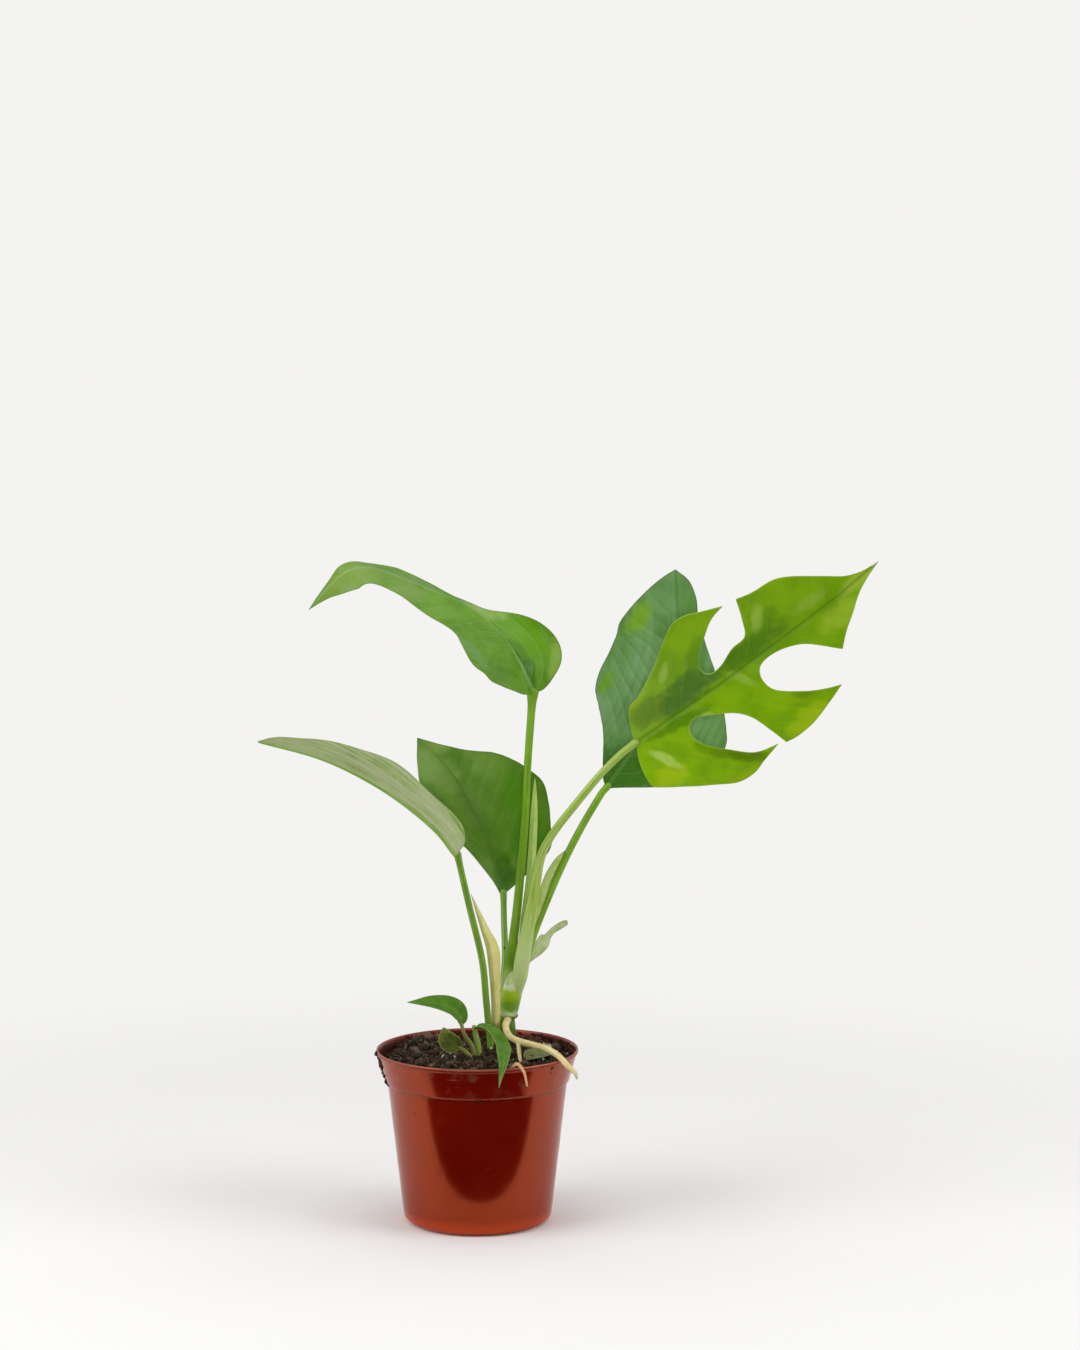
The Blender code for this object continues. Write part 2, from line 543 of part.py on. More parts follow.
    # Young shoots in front of the stem
    planted("shoot_left_stalk", SHOOT_LEFT_ROUTE, [1.5, 1.4, 1.1], plant, cutters, stalk_green, sides=1)
    planted("shoot_low_stalk", SHOOT_LOW_ROUTE, [1.6, 1.5, 1.1], plant, cutters, stalk_green, sides=1)
    planted("shoot_front_stalk", SHOOT_FRONT_ROUTE, [2.0, 1.9, 1.3], plant, cutters, stalk_green, sides=1)
    leaf("shoot_left_leaf",
         Blade([(-9.0, -13.0, 119.4), (-9.6, -12.2, 124.6), (-14, -12, 129.6), (-25, -13.5, 132.8),
                (-40, -16, 134)],
               roll=(40, 45, 50, 55, 60), fold_left=(15, 20, 20, 15), fold_right=(15, 20, 20, 15), half=12),
         [[(0, -0.7), (3, -4), (9, -6.5), (17, -6.8), (27, -4.6), (35, -1.8), (40, 0)],
          [(40, 0), (35, 1.8), (27, 4.4), (17, 6.2), (9, 6.0), (3, 3.6), (0, 0.7)],
          [(0, 0.7), (0, -0.7)]],
         plant, leaf_mature, spacing=5, per=2, thickness=0.6, rib=0.9, rib_reach=1.2)
    leaf("shoot_low_leaf",
         Blade([(-9.2, -19.4, 107.0), (-13.4, -20.2, 110.4), (-17.6, -20.4, 114.6), (-19.6, -19.6, 119)],
               roll=(-15,), fold_left=(30, 30, 20), fold_right=(10, 15, 10), half=10),
         [[(0, -0.7), (2, -4.2), (6, -7.2), (11, -6.2), (15, -2.4), (17, 0)],
          [(17, 0), (15, 2.2), (11, 4.8), (6, 5.4), (2, 3.6), (0, 0.7)],
          [(0, 0.7), (0, -0.7)]],
         plant, leaf_mature, spacing=4.5, per=2, thickness=0.6, rib=0.8, rib_reach=1.2)
    leaf("shoot_front_leaf",
         Blade([(-1.2, -14.9, 118.3), (2.6, -18.5, 119.2), (9.4, -28, 117.6), (15.4, -42, 112.4),
                (16.6, -57, 107.4), (14.6, -64, 99), (13.4, -64.6, 93)],
               roll=(0, -25, -30, -20, 10, 25, 25), fold_left=(20, 25, 20, 15), fold_right=(20, 25, 20, 15),
               half=12, facing=(0, -0.5, 0.86)),
         [[(0, -0.7), (4, -4.4), (12, -6.6), (24, -6.2), (38, -5.2), (52, -3.8), (62, -1.6), (69, 0)],
          [(69, 0), (62, 1.6), (52, 3.8), (38, 5.4), (24, 6.4), (12, 6.8), (4, 4.6), (0, 0.7)],
          [(0, 0.7), (0, -0.7)]],
         plant, leaf_mature, spacing=5.5, per=2, thickness=0.6, rib=0.9, rib_reach=1.2)
    leaf("fallen_leaf",
         Blade([(29, -21, 101.0), (36, -10, 101.4), (43, 2, 101.0), (45.5, 7, 100.4)],
               fold_left=(10,), fold_right=(10,), half=8, facing=(0, -0.2, 0.98)),
         [[(0, -0.6), (4, -4.4), (10, -7.0), (18, -6.8), (26, -3.8), (31.5, 0)],
          [(31.5, 0), (26, 3.8), (18, 7.0), (10, 7.2), (4, 4.6), (0, 0.6)],
          [(0, 0.6), (0, -0.6)]],
         plant, leaf_olive, spacing=5, per=2, thickness=0.6, rib=0.8, rib_reach=1.0)

    # Roots
    root = rod("aerial_root", ROOT_ROUTE, ROOT_RADII, plant, root_beige, per=2, sides=2)
    fork = planted("root_fork", ROOT_FORK_ROUTE, [1.4, 1.2, 1.0], plant, cutters, root_beige, per=2, sides=1)
    join_into(root, [fork])
    side_radii = [1.0, 0.9, 0.9, 0.9, 0.8, 0.5]
    planted("side_root", SIDE_ROOT_ROUTE, side_radii, plant, cutters, root_beige, sides=1)

    # Plain holes in the soil for everything that stands in it
    drill(ground, [c for c in cutters.objects if c.name.startswith("hole_")])


main()
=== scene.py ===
# %% [markdown]
# # A mini monstera in its nursery pot
# The plant is a young climber with five blades on long stalks, three small shoots, a stem joint that has
# sent out a thick root, and a glossy red-brown pot filled with peat. The solids from the construction
# script are loaded first. They fix every size and place, and each finer piece below stands for one of them.

# %% Frame
import math
import random

import bmesh
import bpy
import numpy as np
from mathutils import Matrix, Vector, geometry, noise


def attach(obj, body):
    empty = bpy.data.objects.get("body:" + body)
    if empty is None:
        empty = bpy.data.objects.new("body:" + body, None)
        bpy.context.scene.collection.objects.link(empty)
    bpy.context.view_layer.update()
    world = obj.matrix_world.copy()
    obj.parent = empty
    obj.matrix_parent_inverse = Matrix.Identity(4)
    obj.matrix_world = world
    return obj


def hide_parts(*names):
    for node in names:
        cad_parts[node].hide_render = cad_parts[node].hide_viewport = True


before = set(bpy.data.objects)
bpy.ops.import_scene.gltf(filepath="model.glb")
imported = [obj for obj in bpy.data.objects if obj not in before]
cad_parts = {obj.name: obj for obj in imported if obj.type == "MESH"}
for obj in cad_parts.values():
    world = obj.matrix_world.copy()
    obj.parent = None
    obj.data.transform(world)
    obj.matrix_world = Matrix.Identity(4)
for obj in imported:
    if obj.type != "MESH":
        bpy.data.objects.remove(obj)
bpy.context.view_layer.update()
MM = 0.001

# %% [markdown]
# ## Camera
# The photograph was taken from 1.7 m away with a long lens, a little above the leaves and tilted down by
# less than five degrees. A long lens keeps the pot's sides nearly parallel, so the distance matters as
# much as the framing.

# %% Camera
CAMERA_PLACE = (0.0373, -1.7, 0.466)
CAMERA_TILT = 85.3
LENS = 77.1
SENSOR_WIDTH = 36.0
SIGHT_LIMIT = 20.0


def in_scene(name, data):
    """A new object around a mesh, a lamp or a camera, linked to the scene."""
    item = bpy.data.objects.new(name, data)
    bpy.context.scene.collection.objects.link(item)
    return item


camera = in_scene("camera", bpy.data.cameras.new("camera"))
camera.location = CAMERA_PLACE
camera.rotation_euler = (math.radians(CAMERA_TILT), 0.0, 0.0)
camera.data.lens = LENS
camera.data.sensor_width = SENSOR_WIDTH
camera.data.clip_end = SIGHT_LIMIT
bpy.context.scene.camera = camera
bpy.context.scene.view_settings.view_transform = "Standard"
print("camera", CAMERA_PLACE, "lens", LENS)

# %% [markdown]
# ## A short way to build shaders
# Every finish below is a tree of shader nodes. `put` adds one node, sets its options and fills its inputs
# either with a value or with another node's output, so a whole finish reads as a few lines of plain steps.
# The small helpers after it wrap the nodes that are used most. Sizes are given in millimetres.

# %% Shader helpers
def put(tree, kind, inputs=None, **options):
    """Add a node, set its options, and fill its inputs with values or with other nodes' outputs."""
    node = tree.nodes.new(kind)
    for name, value in options.items():
        setattr(node, name, value)
    for name, value in (inputs or {}).items():
        if isinstance(value, bpy.types.NodeSocket):
            tree.links.new(value, node.inputs[name])
        else:
            node.inputs[name].default_value = value
    return node


def maths(tree, operation, first, second=0.0, third=0.0):
    return put(tree, "ShaderNodeMath", {0: first, 1: second, 2: third}, operation=operation).outputs[0]


def tint(tree, mask, first, second):
    """The first colour where the mask is 0 and the second where it is 1."""
    node = put(tree, "ShaderNodeMix", data_type="RGBA")
    for index, value in ((0, mask), (6, first), (7, second)):
        if isinstance(value, bpy.types.NodeSocket):
            tree.links.new(value, node.inputs[index])
        else:
            node.inputs[index].default_value = value if index == 0 else (*value[:3], 1.0)
    return node.outputs[2]


def over(tree, colour, shade, mask, share=1.0):
    """Lay a shade over the colour where the mask is, no stronger than the share."""
    return tint(tree, maths(tree, "MULTIPLY", mask, share), colour, shade)


def between(tree, value, start, end, low=0.0, high=1.0):
    """A smooth step from low to high as the value goes from start to end."""
    sockets = {"Value": value, "From Min": start, "From Max": end, "To Min": low, "To Max": high}
    return put(tree, "ShaderNodeMapRange", sockets, interpolation_type="SMOOTHSTEP").outputs[0]


def own_place(tree):
    """Where a point lies in its own piece, in metres."""
    return put(tree, "ShaderNodeTexCoord").outputs["Object"]


def grain(tree, size, detail=3.0, roughness=0.5, where=None):
    """Noise whose lumps are `size` millimetres wide, in the object's own space unless told otherwise."""
    where = where or own_place(tree)
    linked = isinstance(size, bpy.types.NodeSocket)
    scale = maths(tree, "DIVIDE", 1.0 / MM, size) if linked else 1.0 / (size * MM)
    sockets = {"Vector": where, "Scale": scale, "Detail": detail, "Roughness": roughness}
    return put(tree, "ShaderNodeTexNoise", sockets).outputs["Fac"]


def stored(tree, name, output="Fac"):
    """A value that the mesh carries at its points."""
    return put(tree, "ShaderNodeAttribute", attribute_name=name).outputs[output]


def height_above_floor(tree):
    place = own_place(tree)
    return put(tree, "ShaderNodeSeparateXYZ", {0: place}).outputs[2]


def new_finish(name):
    """An empty material with its Principled shader."""
    material = bpy.data.materials.new(name)
    material.use_nodes = True
    return material, material.node_tree, material.node_tree.nodes["Principled BSDF"]


def dress(tree, shader, colour, roughness, height=None, relief=0.1, **plain):
    """Link the colour, the roughness and a bump, and set the shader's plain values."""
    for name, value in (("Base Color", colour), ("Roughness", roughness)):
        if isinstance(value, bpy.types.NodeSocket):
            tree.links.new(value, shader.inputs[name])
        else:
            shader.inputs[name].default_value = value if name == "Roughness" else (*value[:3], 1.0)
    if height is not None:
        bump = put(tree, "ShaderNodeBump", {"Height": height, "Strength": 1.0, "Distance": relief * MM})
        tree.links.new(bump.outputs[0], shader.inputs["Normal"])
    for name, value in plain.items():
        shader.inputs[name.replace("_", " ").title().replace("Ior", "IOR")].default_value = value


# %% [markdown]
# ## Effects that several finishes share
# A node group is built once and placed in each material with its own values. Soft mottling is in all of
# them, leaf veins in every blade, lengthwise streaks in every stalk, sheath and root, a soft patch paints
# shade or a highlight onto one area of a blade, and specks are the dirt on pot, stalks and roots.

# %% Group helpers
def effect(name, inputs, outputs):
    """A node group with named number inputs and outputs, with its two end nodes."""
    tree = bpy.data.node_groups.new(name, "ShaderNodeTree")
    for label, value in inputs.items():
        socket = tree.interface.new_socket(label, in_out="INPUT", socket_type="NodeSocketFloat")
        socket.default_value = value
    for label in outputs:
        tree.interface.new_socket(label, in_out="OUTPUT", socket_type="NodeSocketFloat")
    return tree, put(tree, "NodeGroupInput").outputs, put(tree, "NodeGroupOutput").inputs


def apply_effect(tree, group, output, **values):
    """One output of a node group, with the given inputs. An underscore stands for a space."""
    node = put(tree, "ShaderNodeGroup", node_tree=group)
    for label, value in values.items():
        socket = node.inputs[label.replace("_", " ")]
        if isinstance(value, bpy.types.NodeSocket):
            tree.links.new(value, socket)
        else:
            socket.default_value = value
    return node.outputs[output]


# %% Mottling
MOTTLE, given, result = effect("soft_mottle", {"Size": 12.0, "Low": 0.35, "High": 0.65}, ["Mask"])
cloud = grain(MOTTLE, given["Size"], detail=3.0, roughness=0.55)
MOTTLE.links.new(between(MOTTLE, cloud, given["Low"], given["High"]), result["Mask"])
print("group", MOTTLE.name)

# %% Leaf veins
VEIN_INPUTS = {"Width": 0.12, "Fine Count": 5.0, "Edge": 0.8}
VEINS, given, result = effect("leaf_veins", VEIN_INPUTS, ["Vein", "Fine", "Rib", "Margin"])
phase = stored(VEINS, "phase")
to_vein = maths(VEINS, "PINGPONG", phase, 0.5)
VEINS.links.new(between(VEINS, to_vein, given["Width"], 0.0), result["Vein"])
wander = maths(VEINS, "MULTIPLY", grain(VEINS, 9.0, detail=2.0), 1.3)
fine_phase = maths(VEINS, "ADD", maths(VEINS, "MULTIPLY", phase, given["Fine Count"]), wander)
fine_wave = maths(VEINS, "PINGPONG", fine_phase, 0.5)
fine_strength = between(VEINS, grain(VEINS, 14.0, detail=2.0), 0.35, 0.65)
fine_line = maths(VEINS, "MULTIPLY", between(VEINS, fine_wave, 0.0, 0.5), fine_strength)
VEINS.links.new(fine_line, result["Fine"])
VEINS.links.new(between(VEINS, stored(VEINS, "rib"), 1.0, 0.35), result["Rib"])
VEINS.links.new(between(VEINS, stored(VEINS, "edge"), given["Edge"], 0.1), result["Margin"])
print("group", VEINS.name)

# %% Soft patch
# A patch is painted light: a soft oval of painted shade or painted highlight on a blade.
PATCH_INPUTS = {"Along": 50.0, "Across": 0.0, "Length": 10.0, "Breadth": 5.0, "Lean": 0.0}
LIGHT_PATCH, given, result = effect("painted_light_patch", PATCH_INPUTS, ["Mask"])
step_along = maths(LIGHT_PATCH, "SUBTRACT", stored(LIGHT_PATCH, "along"), given["Along"])
step_across = maths(LIGHT_PATCH, "SUBTRACT", stored(LIGHT_PATCH, "across"), given["Across"])
lean = maths(LIGHT_PATCH, "RADIANS", given["Lean"])
lean_sine = maths(LIGHT_PATCH, "SINE", lean)
lean_cosine = maths(LIGHT_PATCH, "COSINE", lean)
long_way = maths(LIGHT_PATCH, "MULTIPLY_ADD", step_across, lean_sine,
                 maths(LIGHT_PATCH, "MULTIPLY", step_along, lean_cosine))
wide_way = maths(LIGHT_PATCH, "SUBTRACT", maths(LIGHT_PATCH, "MULTIPLY", step_across, lean_cosine),
                 maths(LIGHT_PATCH, "MULTIPLY", step_along, lean_sine))
long_share = maths(LIGHT_PATCH, "POWER", maths(LIGHT_PATCH, "DIVIDE", long_way, given["Length"]), 2.0)
wide_share = maths(LIGHT_PATCH, "POWER", maths(LIGHT_PATCH, "DIVIDE", wide_way, given["Breadth"]), 2.0)
ragged = maths(LIGHT_PATCH, "MULTIPLY", maths(LIGHT_PATCH, "SUBTRACT", grain(LIGHT_PATCH, 6.0, detail=2.0), 0.5), 1.5)
reach = maths(LIGHT_PATCH, "ADD", maths(LIGHT_PATCH, "ADD", long_share, wide_share), ragged)
LIGHT_PATCH.links.new(between(LIGHT_PATCH, reach, 1.25, 0.1), result["Mask"])
print("group", LIGHT_PATCH.name)

# %% Lengthwise streaks
STREAKS, given, result = effect("lengthwise_streaks", {"Width": 0.6, "Length": 30.0}, ["Streak", "Ridge"])
fibre = stored(STREAKS, "fibre", "Vector")
split = put(STREAKS, "ShaderNodeSeparateXYZ", {0: fibre})
narrow = [maths(STREAKS, "DIVIDE", split.outputs[k], given["Width"]) for k in (0, 1)]
stretched = maths(STREAKS, "DIVIDE", split.outputs[2], given["Length"])
spread = put(STREAKS, "ShaderNodeCombineXYZ", {0: narrow[0], 1: narrow[1], 2: stretched}).outputs[0]
streak = put(STREAKS, "ShaderNodeTexNoise", {"Vector": spread, "Scale": 1.0, "Detail": 2.0}).outputs["Fac"]
STREAKS.links.new(between(STREAKS, streak, 0.35, 0.65), result["Streak"])
STREAKS.links.new(streak, result["Ridge"])
print("group", STREAKS.name)

# %% Specks of dirt
SPECKS, given, result = effect("specks", {"Spacing": 6.0, "Size": 0.2, "Share": 0.3}, ["Mask"])
cells = put(SPECKS, "ShaderNodeTexVoronoi", {"Vector": put(SPECKS, "ShaderNodeTexCoord").outputs["Object"],
                                            "Scale": maths(SPECKS, "DIVIDE", 1.0 / MM, given["Spacing"])})
draw = put(SPECKS, "ShaderNodeSeparateColor", {0: cells.outputs["Color"]}).outputs[0]
chosen = maths(SPECKS, "LESS_THAN", draw, given["Share"])
blot = maths(SPECKS, "ADD", cells.outputs["Distance"],
             maths(SPECKS, "MULTIPLY", maths(SPECKS, "SUBTRACT", grain(SPECKS, 0.7), 0.5), 0.25))
inner = maths(SPECKS, "MULTIPLY", given["Size"], 0.6)
spots = maths(SPECKS, "MULTIPLY", between(SPECKS, blot, given["Size"], inner), chosen)
SPECKS.links.new(spots, result["Mask"])
print("group", SPECKS.name)

# %% [markdown]
# ## Floor, surroundings and light
# The plant stands on a plain pale floor in soft light from both sides and above. The floor's far edge
# fades into a pale surrounding of the same brightness, so no horizon shows from any side. The glossy pot
# mirrors the front of the table: past its front edge the room is dark, which gives the pot its dark
# rounded middle between two lit sides. A dark card that only mirrors can see stands for that room. A
# narrow lamp from the front brightens the leaves and leaves the floor and the pot's gloss as they are.

# %% Floor
FLOOR_HALF = 3.0
FLOOR_FADE = (0.2, 0.75)


def flat_sheet(name, half, cells):
    """A flat square that reaches `half` metres to each side of its middle."""
    mesh = bpy.data.meshes.new(name)
    work = bmesh.new()
    bmesh.ops.create_grid(work, x_segments=cells, y_segments=cells, size=half)
    work.to_mesh(mesh)
    work.free()
    return in_scene(name, mesh)


floor = flat_sheet("floor", FLOOR_HALF, 12)
floor_finish, tree, shader = new_finish("pale_floor")
place = own_place(tree)
from_middle = put(tree, "ShaderNodeVectorMath", {0: place}, operation="LENGTH").outputs["Value"]
tree.links.new(between(tree, from_middle, *FLOOR_FADE, 1.0, 0.0), shader.inputs["Alpha"])
paint = tint(tree, grain(tree, 300.0), (0.90, 0.89, 0.88), (0.92, 0.91, 0.90))
dress(tree, shader, paint, 0.9, specular_ior_level=0.1)
floor.data.materials.append(floor_finish)
print("floor", 2 * FLOOR_HALF, "m wide")

# %% Dark front of the room
TABLE_EDGE = -0.080
CARD_DEPTH = 2.2
CARD_WIDTH = 3.4
CARD_MIDDLE = 0.09
CARD_HEIGHT = 0.001
CARD_TURN = 4.5

card = flat_sheet("dark_front", 0.5, 2)
card.scale = (CARD_WIDTH, CARD_DEPTH, 1.0)
card.location = (CARD_MIDDLE, TABLE_EDGE - CARD_DEPTH / 2, CARD_HEIGHT)
card.rotation_euler = (0.0, 0.0, math.radians(CARD_TURN))
# Painted dark: this sheet is seen only in reflections and stands for the shade of the room in front.
card_finish, tree, shader = new_finish("dark_room_stand_in")
dress(tree, shader, (0.004, 0.004, 0.004), 1.0, specular_ior_level=0.0)
card.data.materials.append(card_finish)
for sight in ("camera", "diffuse", "shadow", "transmission"):
    setattr(card, "visible_" + sight, False)
print("dark beyond y =", TABLE_EDGE)

# %% Surroundings
SEEN = (0.904, 0.896, 0.885)
ABOVE = 0.62
BELOW = 0.50
FRONT = 0.27

world = bpy.data.worlds.new("studio")
bpy.context.scene.world = world
world.use_nodes = True
tree = world.node_tree
tree.nodes.clear()
way = put(tree, "ShaderNodeSeparateXYZ", {0: put(tree, "ShaderNodeTexCoord").outputs["Generated"]}).outputs
height = between(tree, way[2], -0.5, 0.7, BELOW, ABOVE)
depth = between(tree, way[1], -0.9, 0.3, FRONT, 1.0)
lighting = put(tree, "ShaderNodeBackground", {"Strength": maths(tree, "MULTIPLY", height, depth)})
seen = put(tree, "ShaderNodeBackground", {"Color": (*SEEN, 1.0), "Strength": 1.0})
straight = put(tree, "ShaderNodeLightPath").outputs["Is Camera Ray"]
both = put(tree, "ShaderNodeMixShader", {0: straight, 1: lighting.outputs[0], 2: seen.outputs[0]})
put(tree, "ShaderNodeOutputWorld", {"Surface": both.outputs[0]})
print("surroundings", ABOVE, "above and", FRONT, "in front")

# %% Lamps
LAMPS = {"left_window": ((-1.15, -0.55, 0.75), 1.0, 11.5),
         "right_window": ((1.25, -0.45, 0.65), 0.9, 9.5),
         "top_box": ((0.05, -0.1, 1.55), 1.3, 8.0)}
AIM = Vector((0.03, 0.0, 0.18))
LEAF_LIGHT_PLACE = Vector((0.045, -2.2, 0.52))
LEAF_LIGHT_AIM = Vector((0.045, 0.0, 0.36))
LEAF_LIGHT_POWER = 100.0
LEAF_LIGHT_ANGLE = 14.0
LEAF_LIGHT_BLEND = 0.55
LEAF_LIGHT_RADIUS = 0.15


def add_lamp(name, kind, spot, aim, power):
    lamp = in_scene(name, bpy.data.lights.new(name, kind))
    lamp.data.energy = power
    lamp.location = spot
    lamp.rotation_euler = (aim - Vector(spot)).to_track_quat("-Z", "Y").to_euler()
    print(name, power, "W")
    return lamp


for name, (spot, size, power) in LAMPS.items():
    lamp = add_lamp(name, "AREA", spot, AIM, power)
    lamp.data.shape = "SQUARE"
    lamp.data.size = size
leaf_light = add_lamp("leaf_light", "SPOT", LEAF_LIGHT_PLACE, LEAF_LIGHT_AIM, LEAF_LIGHT_POWER)
leaf_light.data.spot_size = math.radians(LEAF_LIGHT_ANGLE)
leaf_light.data.spot_blend = LEAF_LIGHT_BLEND
leaf_light.data.shadow_soft_size = LEAF_LIGHT_RADIUS
leaf_light.visible_glossy = False

# %% [markdown]
# ## Putting a piece in the scene
# Each finer piece takes the place of one solid: it rides on the same body and the solid is hidden. A
# curved line through a few chosen points is needed by stalks and blades alike, so it comes here too. It is
# the same smooth line as in the construction script.

# %% Place a piece
def settle(name, mesh, slot, *nodes):
    """Put a mesh in the scene as a piece of the part, in place of the solids named."""
    piece = in_scene(name, mesh)
    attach(piece, "root")
    if nodes:
        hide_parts(*nodes)
    return piece


def smooth_faces(mesh, angle=50.0):
    for face in mesh.polygons:
        face.use_smooth = True
    mesh.set_sharp_from_angle(angle=math.radians(angle))


def made_real(piece):
    """Apply the piece's modifiers and report how many triangles it has."""
    graph = bpy.context.evaluated_depsgraph_get()
    mesh = bpy.data.meshes.new_from_object(piece.evaluated_get(graph), depsgraph=graph)
    piece.modifiers.clear()
    piece.data = mesh
    smooth_faces(mesh)
    print(piece.name, sum(len(face.vertices) - 2 for face in mesh.polygons), "triangles")
    return piece


def keep_values(mesh, values):
    """Store one number, or one vector, for each point of the mesh."""
    for name, numbers in values.items():
        flat = np.asarray(numbers, np.float32)
        kind = "FLOAT" if flat.ndim == 1 else "FLOAT_VECTOR"
        store = mesh.attributes.new(name, kind, "POINT")
        store.data.foreach_set("value" if flat.ndim == 1 else "vector", flat.ravel())


# %% Smooth line
def smooth_route(points, per):
    """A smooth line through the points, with `per` steps between neighbours."""
    known = np.asarray(points, float)
    known = np.vstack([2 * known[0] - known[1], known, 2 * known[-1] - known[-2]])
    line = []
    for before, start, end, after in zip(known, known[1:], known[2:], known[3:]):
        for step in range(per):
            u = step / per
            bend = 2 * before - 5 * start + 4 * end - after
            twist = 3 * start - before - 3 * end + after
            line.append(0.5 * (2 * start + (end - before) * u + bend * u * u + twist * u ** 3))
    line.append(known[-2])
    return np.array(line)


def reach_along(line):
    return np.concatenate([[0.0], np.cumsum(np.linalg.norm(np.diff(line, axis=0), axis=1))])


# %% [markdown]
# ## How a blade is bent
# A leaf blade is a thin sheet that grows from a stiff rib. It could be sculpted, but then nothing would
# keep its outline true. Here it is drawn flat, as a botanist would draw it, with the rib along one axis,
# and then bent: the rib follows a curve in space, each half leaves it at a fold angle, and may curl on
# the way to its margin. The same few numbers made the solids, so the fine blades lie exactly on them.

# %% Blade surface
RIB_STEPS = 401
SWEEP_STEPS = 16


class Blade:
    """A bent leaf surface; `at` turns flat places (along the rib, across it) into places in space."""

    def __init__(self, rib, roll=(0,), fold_left=(0,), fold_right=(0,), curl_left=(0,), curl_right=(0,),
                 half=40.0, facing=(0, -1, 0)):
        line = smooth_route(rib, 24)
        reach = reach_along(line)
        self.length = reach[-1]
        self.stops = np.linspace(0, self.length, RIB_STEPS)
        self.line = self.spread(line, reach)
        tangent = np.gradient(self.line, axis=0)
        self.tangent = tangent / np.linalg.norm(tangent, axis=1)[:, None]
        out = np.asarray(facing, float)
        normal = out - (self.tangent @ out)[:, None] * self.tangent
        normal /= np.linalg.norm(normal, axis=1)[:, None]
        across = np.cross(self.tangent, normal)
        turn = self.along_rib(roll)[:, None]
        self.up = normal * np.cos(turn) + across * np.sin(turn)
        self.side = across * np.cos(turn) - normal * np.sin(turn)
        self.fold = (self.along_rib(fold_left), self.along_rib(fold_right))
        self.curl = (self.along_rib(curl_left), self.along_rib(curl_right))
        self.half = half

    def spread(self, rows, reach):
        return np.stack([np.interp(self.stops, reach, rows[:, k]) for k in range(rows.shape[1])], 1)

    def along_rib(self, degrees):
        if len(degrees) == 1:
            return np.full(RIB_STEPS, math.radians(degrees[0]))
        smooth = smooth_route(np.asarray(degrees, float)[:, None], 16)[:, 0]
        shares = np.linspace(0, 1, len(smooth))
        return np.radians(np.interp(np.linspace(0, 1, RIB_STEPS), shares, smooth))

    def read(self, values, along):
        if values.ndim == 1:
            return np.interp(along, self.stops, values)
        return np.stack([np.interp(along, self.stops, values[:, k]) for k in range(3)], 1)

    def at(self, along, across):
        along = np.asarray(along, float)
        across = np.asarray(across, float)
        held = np.clip(along, 0, self.length)
        left = across < 0
        fold = np.where(left, self.read(self.fold[0], held), self.read(self.fold[1], held))
        curl = np.where(left, self.read(self.curl[0], held), self.read(self.curl[1], held))
        step = np.abs(across) / SWEEP_STEPS
        outward = np.zeros_like(across)
        lift = np.zeros_like(across)
        for k in range(SWEEP_STEPS):
            angle = fold + curl * ((k + 0.5) * step / self.half) ** 2
            outward += np.cos(angle) * step
            lift += np.sin(angle) * step
        start = self.read(self.line, held) + self.read(self.tangent, held) * (along - held)[:, None]
        side = self.read(self.side, held) * np.copysign(outward, across)[:, None]
        return start + side + self.read(self.up, held) * lift[:, None]


# %% Flat outline and its inside
OUTLINE_STEPS = 8


def closed_outline(runs):
    """One closed line out of runs that each begin where the one before ends."""
    return np.concatenate([smooth_route(run, OUTLINE_STEPS)[:-1] for run in runs])


def edge_distance(points, outline):
    """Distance of each point to the outline, and whether the point is inside it."""
    best = np.full(len(points), 1e9)
    hit = np.zeros(len(points), bool)
    for a, b in zip(outline, np.roll(outline, -1, axis=0)):
        along = b - a
        share = np.clip(((points - a) @ along) / max(along @ along, 1e-12), 0.0, 1.0)
        best = np.minimum(best, np.linalg.norm(points - a - share[:, None] * along, axis=1))
        if a[1] != b[1]:
            crossing = (a[1] > points[:, 1]) != (b[1] > points[:, 1])
            beyond = points[:, 0] < a[0] + (points[:, 1] - a[1]) / (b[1] - a[1]) * (b[0] - a[0])
            hit ^= crossing & beyond
    return best, hit


def fill_points(outline, length, pitch, columns):
    """Places inside the outline: rows beside the rib, and an even triangular grid over the rest."""
    rows = np.arange(-length * 0.1, length, pitch * 0.87)
    spots = []
    for index, along in enumerate(rows):
        across = (np.arange(-60, 61) + 0.5 * (index % 2)) * pitch
        across = across[np.abs(across) > columns[-1] + 0.6 * pitch]
        spots += [(along, x) for x in across]
        spots += [(along, side * x) for x in columns for side in (-1, 1) if side > 0 or x > 0]
    spots = np.array(spots)
    distance, inside = edge_distance(spots, outline)
    return spots[inside & (distance > 0.45 * pitch)]

# %% [markdown]
# ## Veins as relief
# On the real blades the side veins leave the rib at an angle and arch towards the tip. They lie in
# shallow furrows on the upper face and stand out below, and the tissue between them is softly quilted.
# That relief is worked out from one number per point, the vein phase, which is whole on each vein. The
# shader reads the same number, so the pale vein lines run exactly along the furrows.

# %% Veins of a blade
FURROW_WIDTH = 1.6


def vein_phase(along, across, gap, lean, bow):
    """A number that is whole on each side vein, with the veins of the two halves half a gap apart."""
    reach = np.abs(across)
    wobble = 0.14 * np.sin(along / 17.0 + across / 9.0) + 0.08 * np.sin(along / 6.0 - across / 13.0)
    return (along - lean * reach - bow * reach ** 2) / gap + 0.5 * (across < 0) + wobble


def give_thickness(piece, swell, thickness, rib_thickness):
    """Turn the sheet into a thin body: `thickness` in general, `rib_thickness` where the swell is 1."""
    group = piece.vertex_groups.new(name="swelling")
    for index, weight in enumerate(swell):
        if weight > 0.01:
            group.add([index], float(weight), "REPLACE")
    solid = piece.modifiers.new("thickness", "SOLIDIFY")
    solid.thickness = rib_thickness * MM
    solid.offset = -1.0
    solid.vertex_group = group.name
    solid.thickness_vertex_group = thickness / rib_thickness
    solid.use_even_offset = False
    solid.material_offset = 1
    solid.material_offset_rim = 1


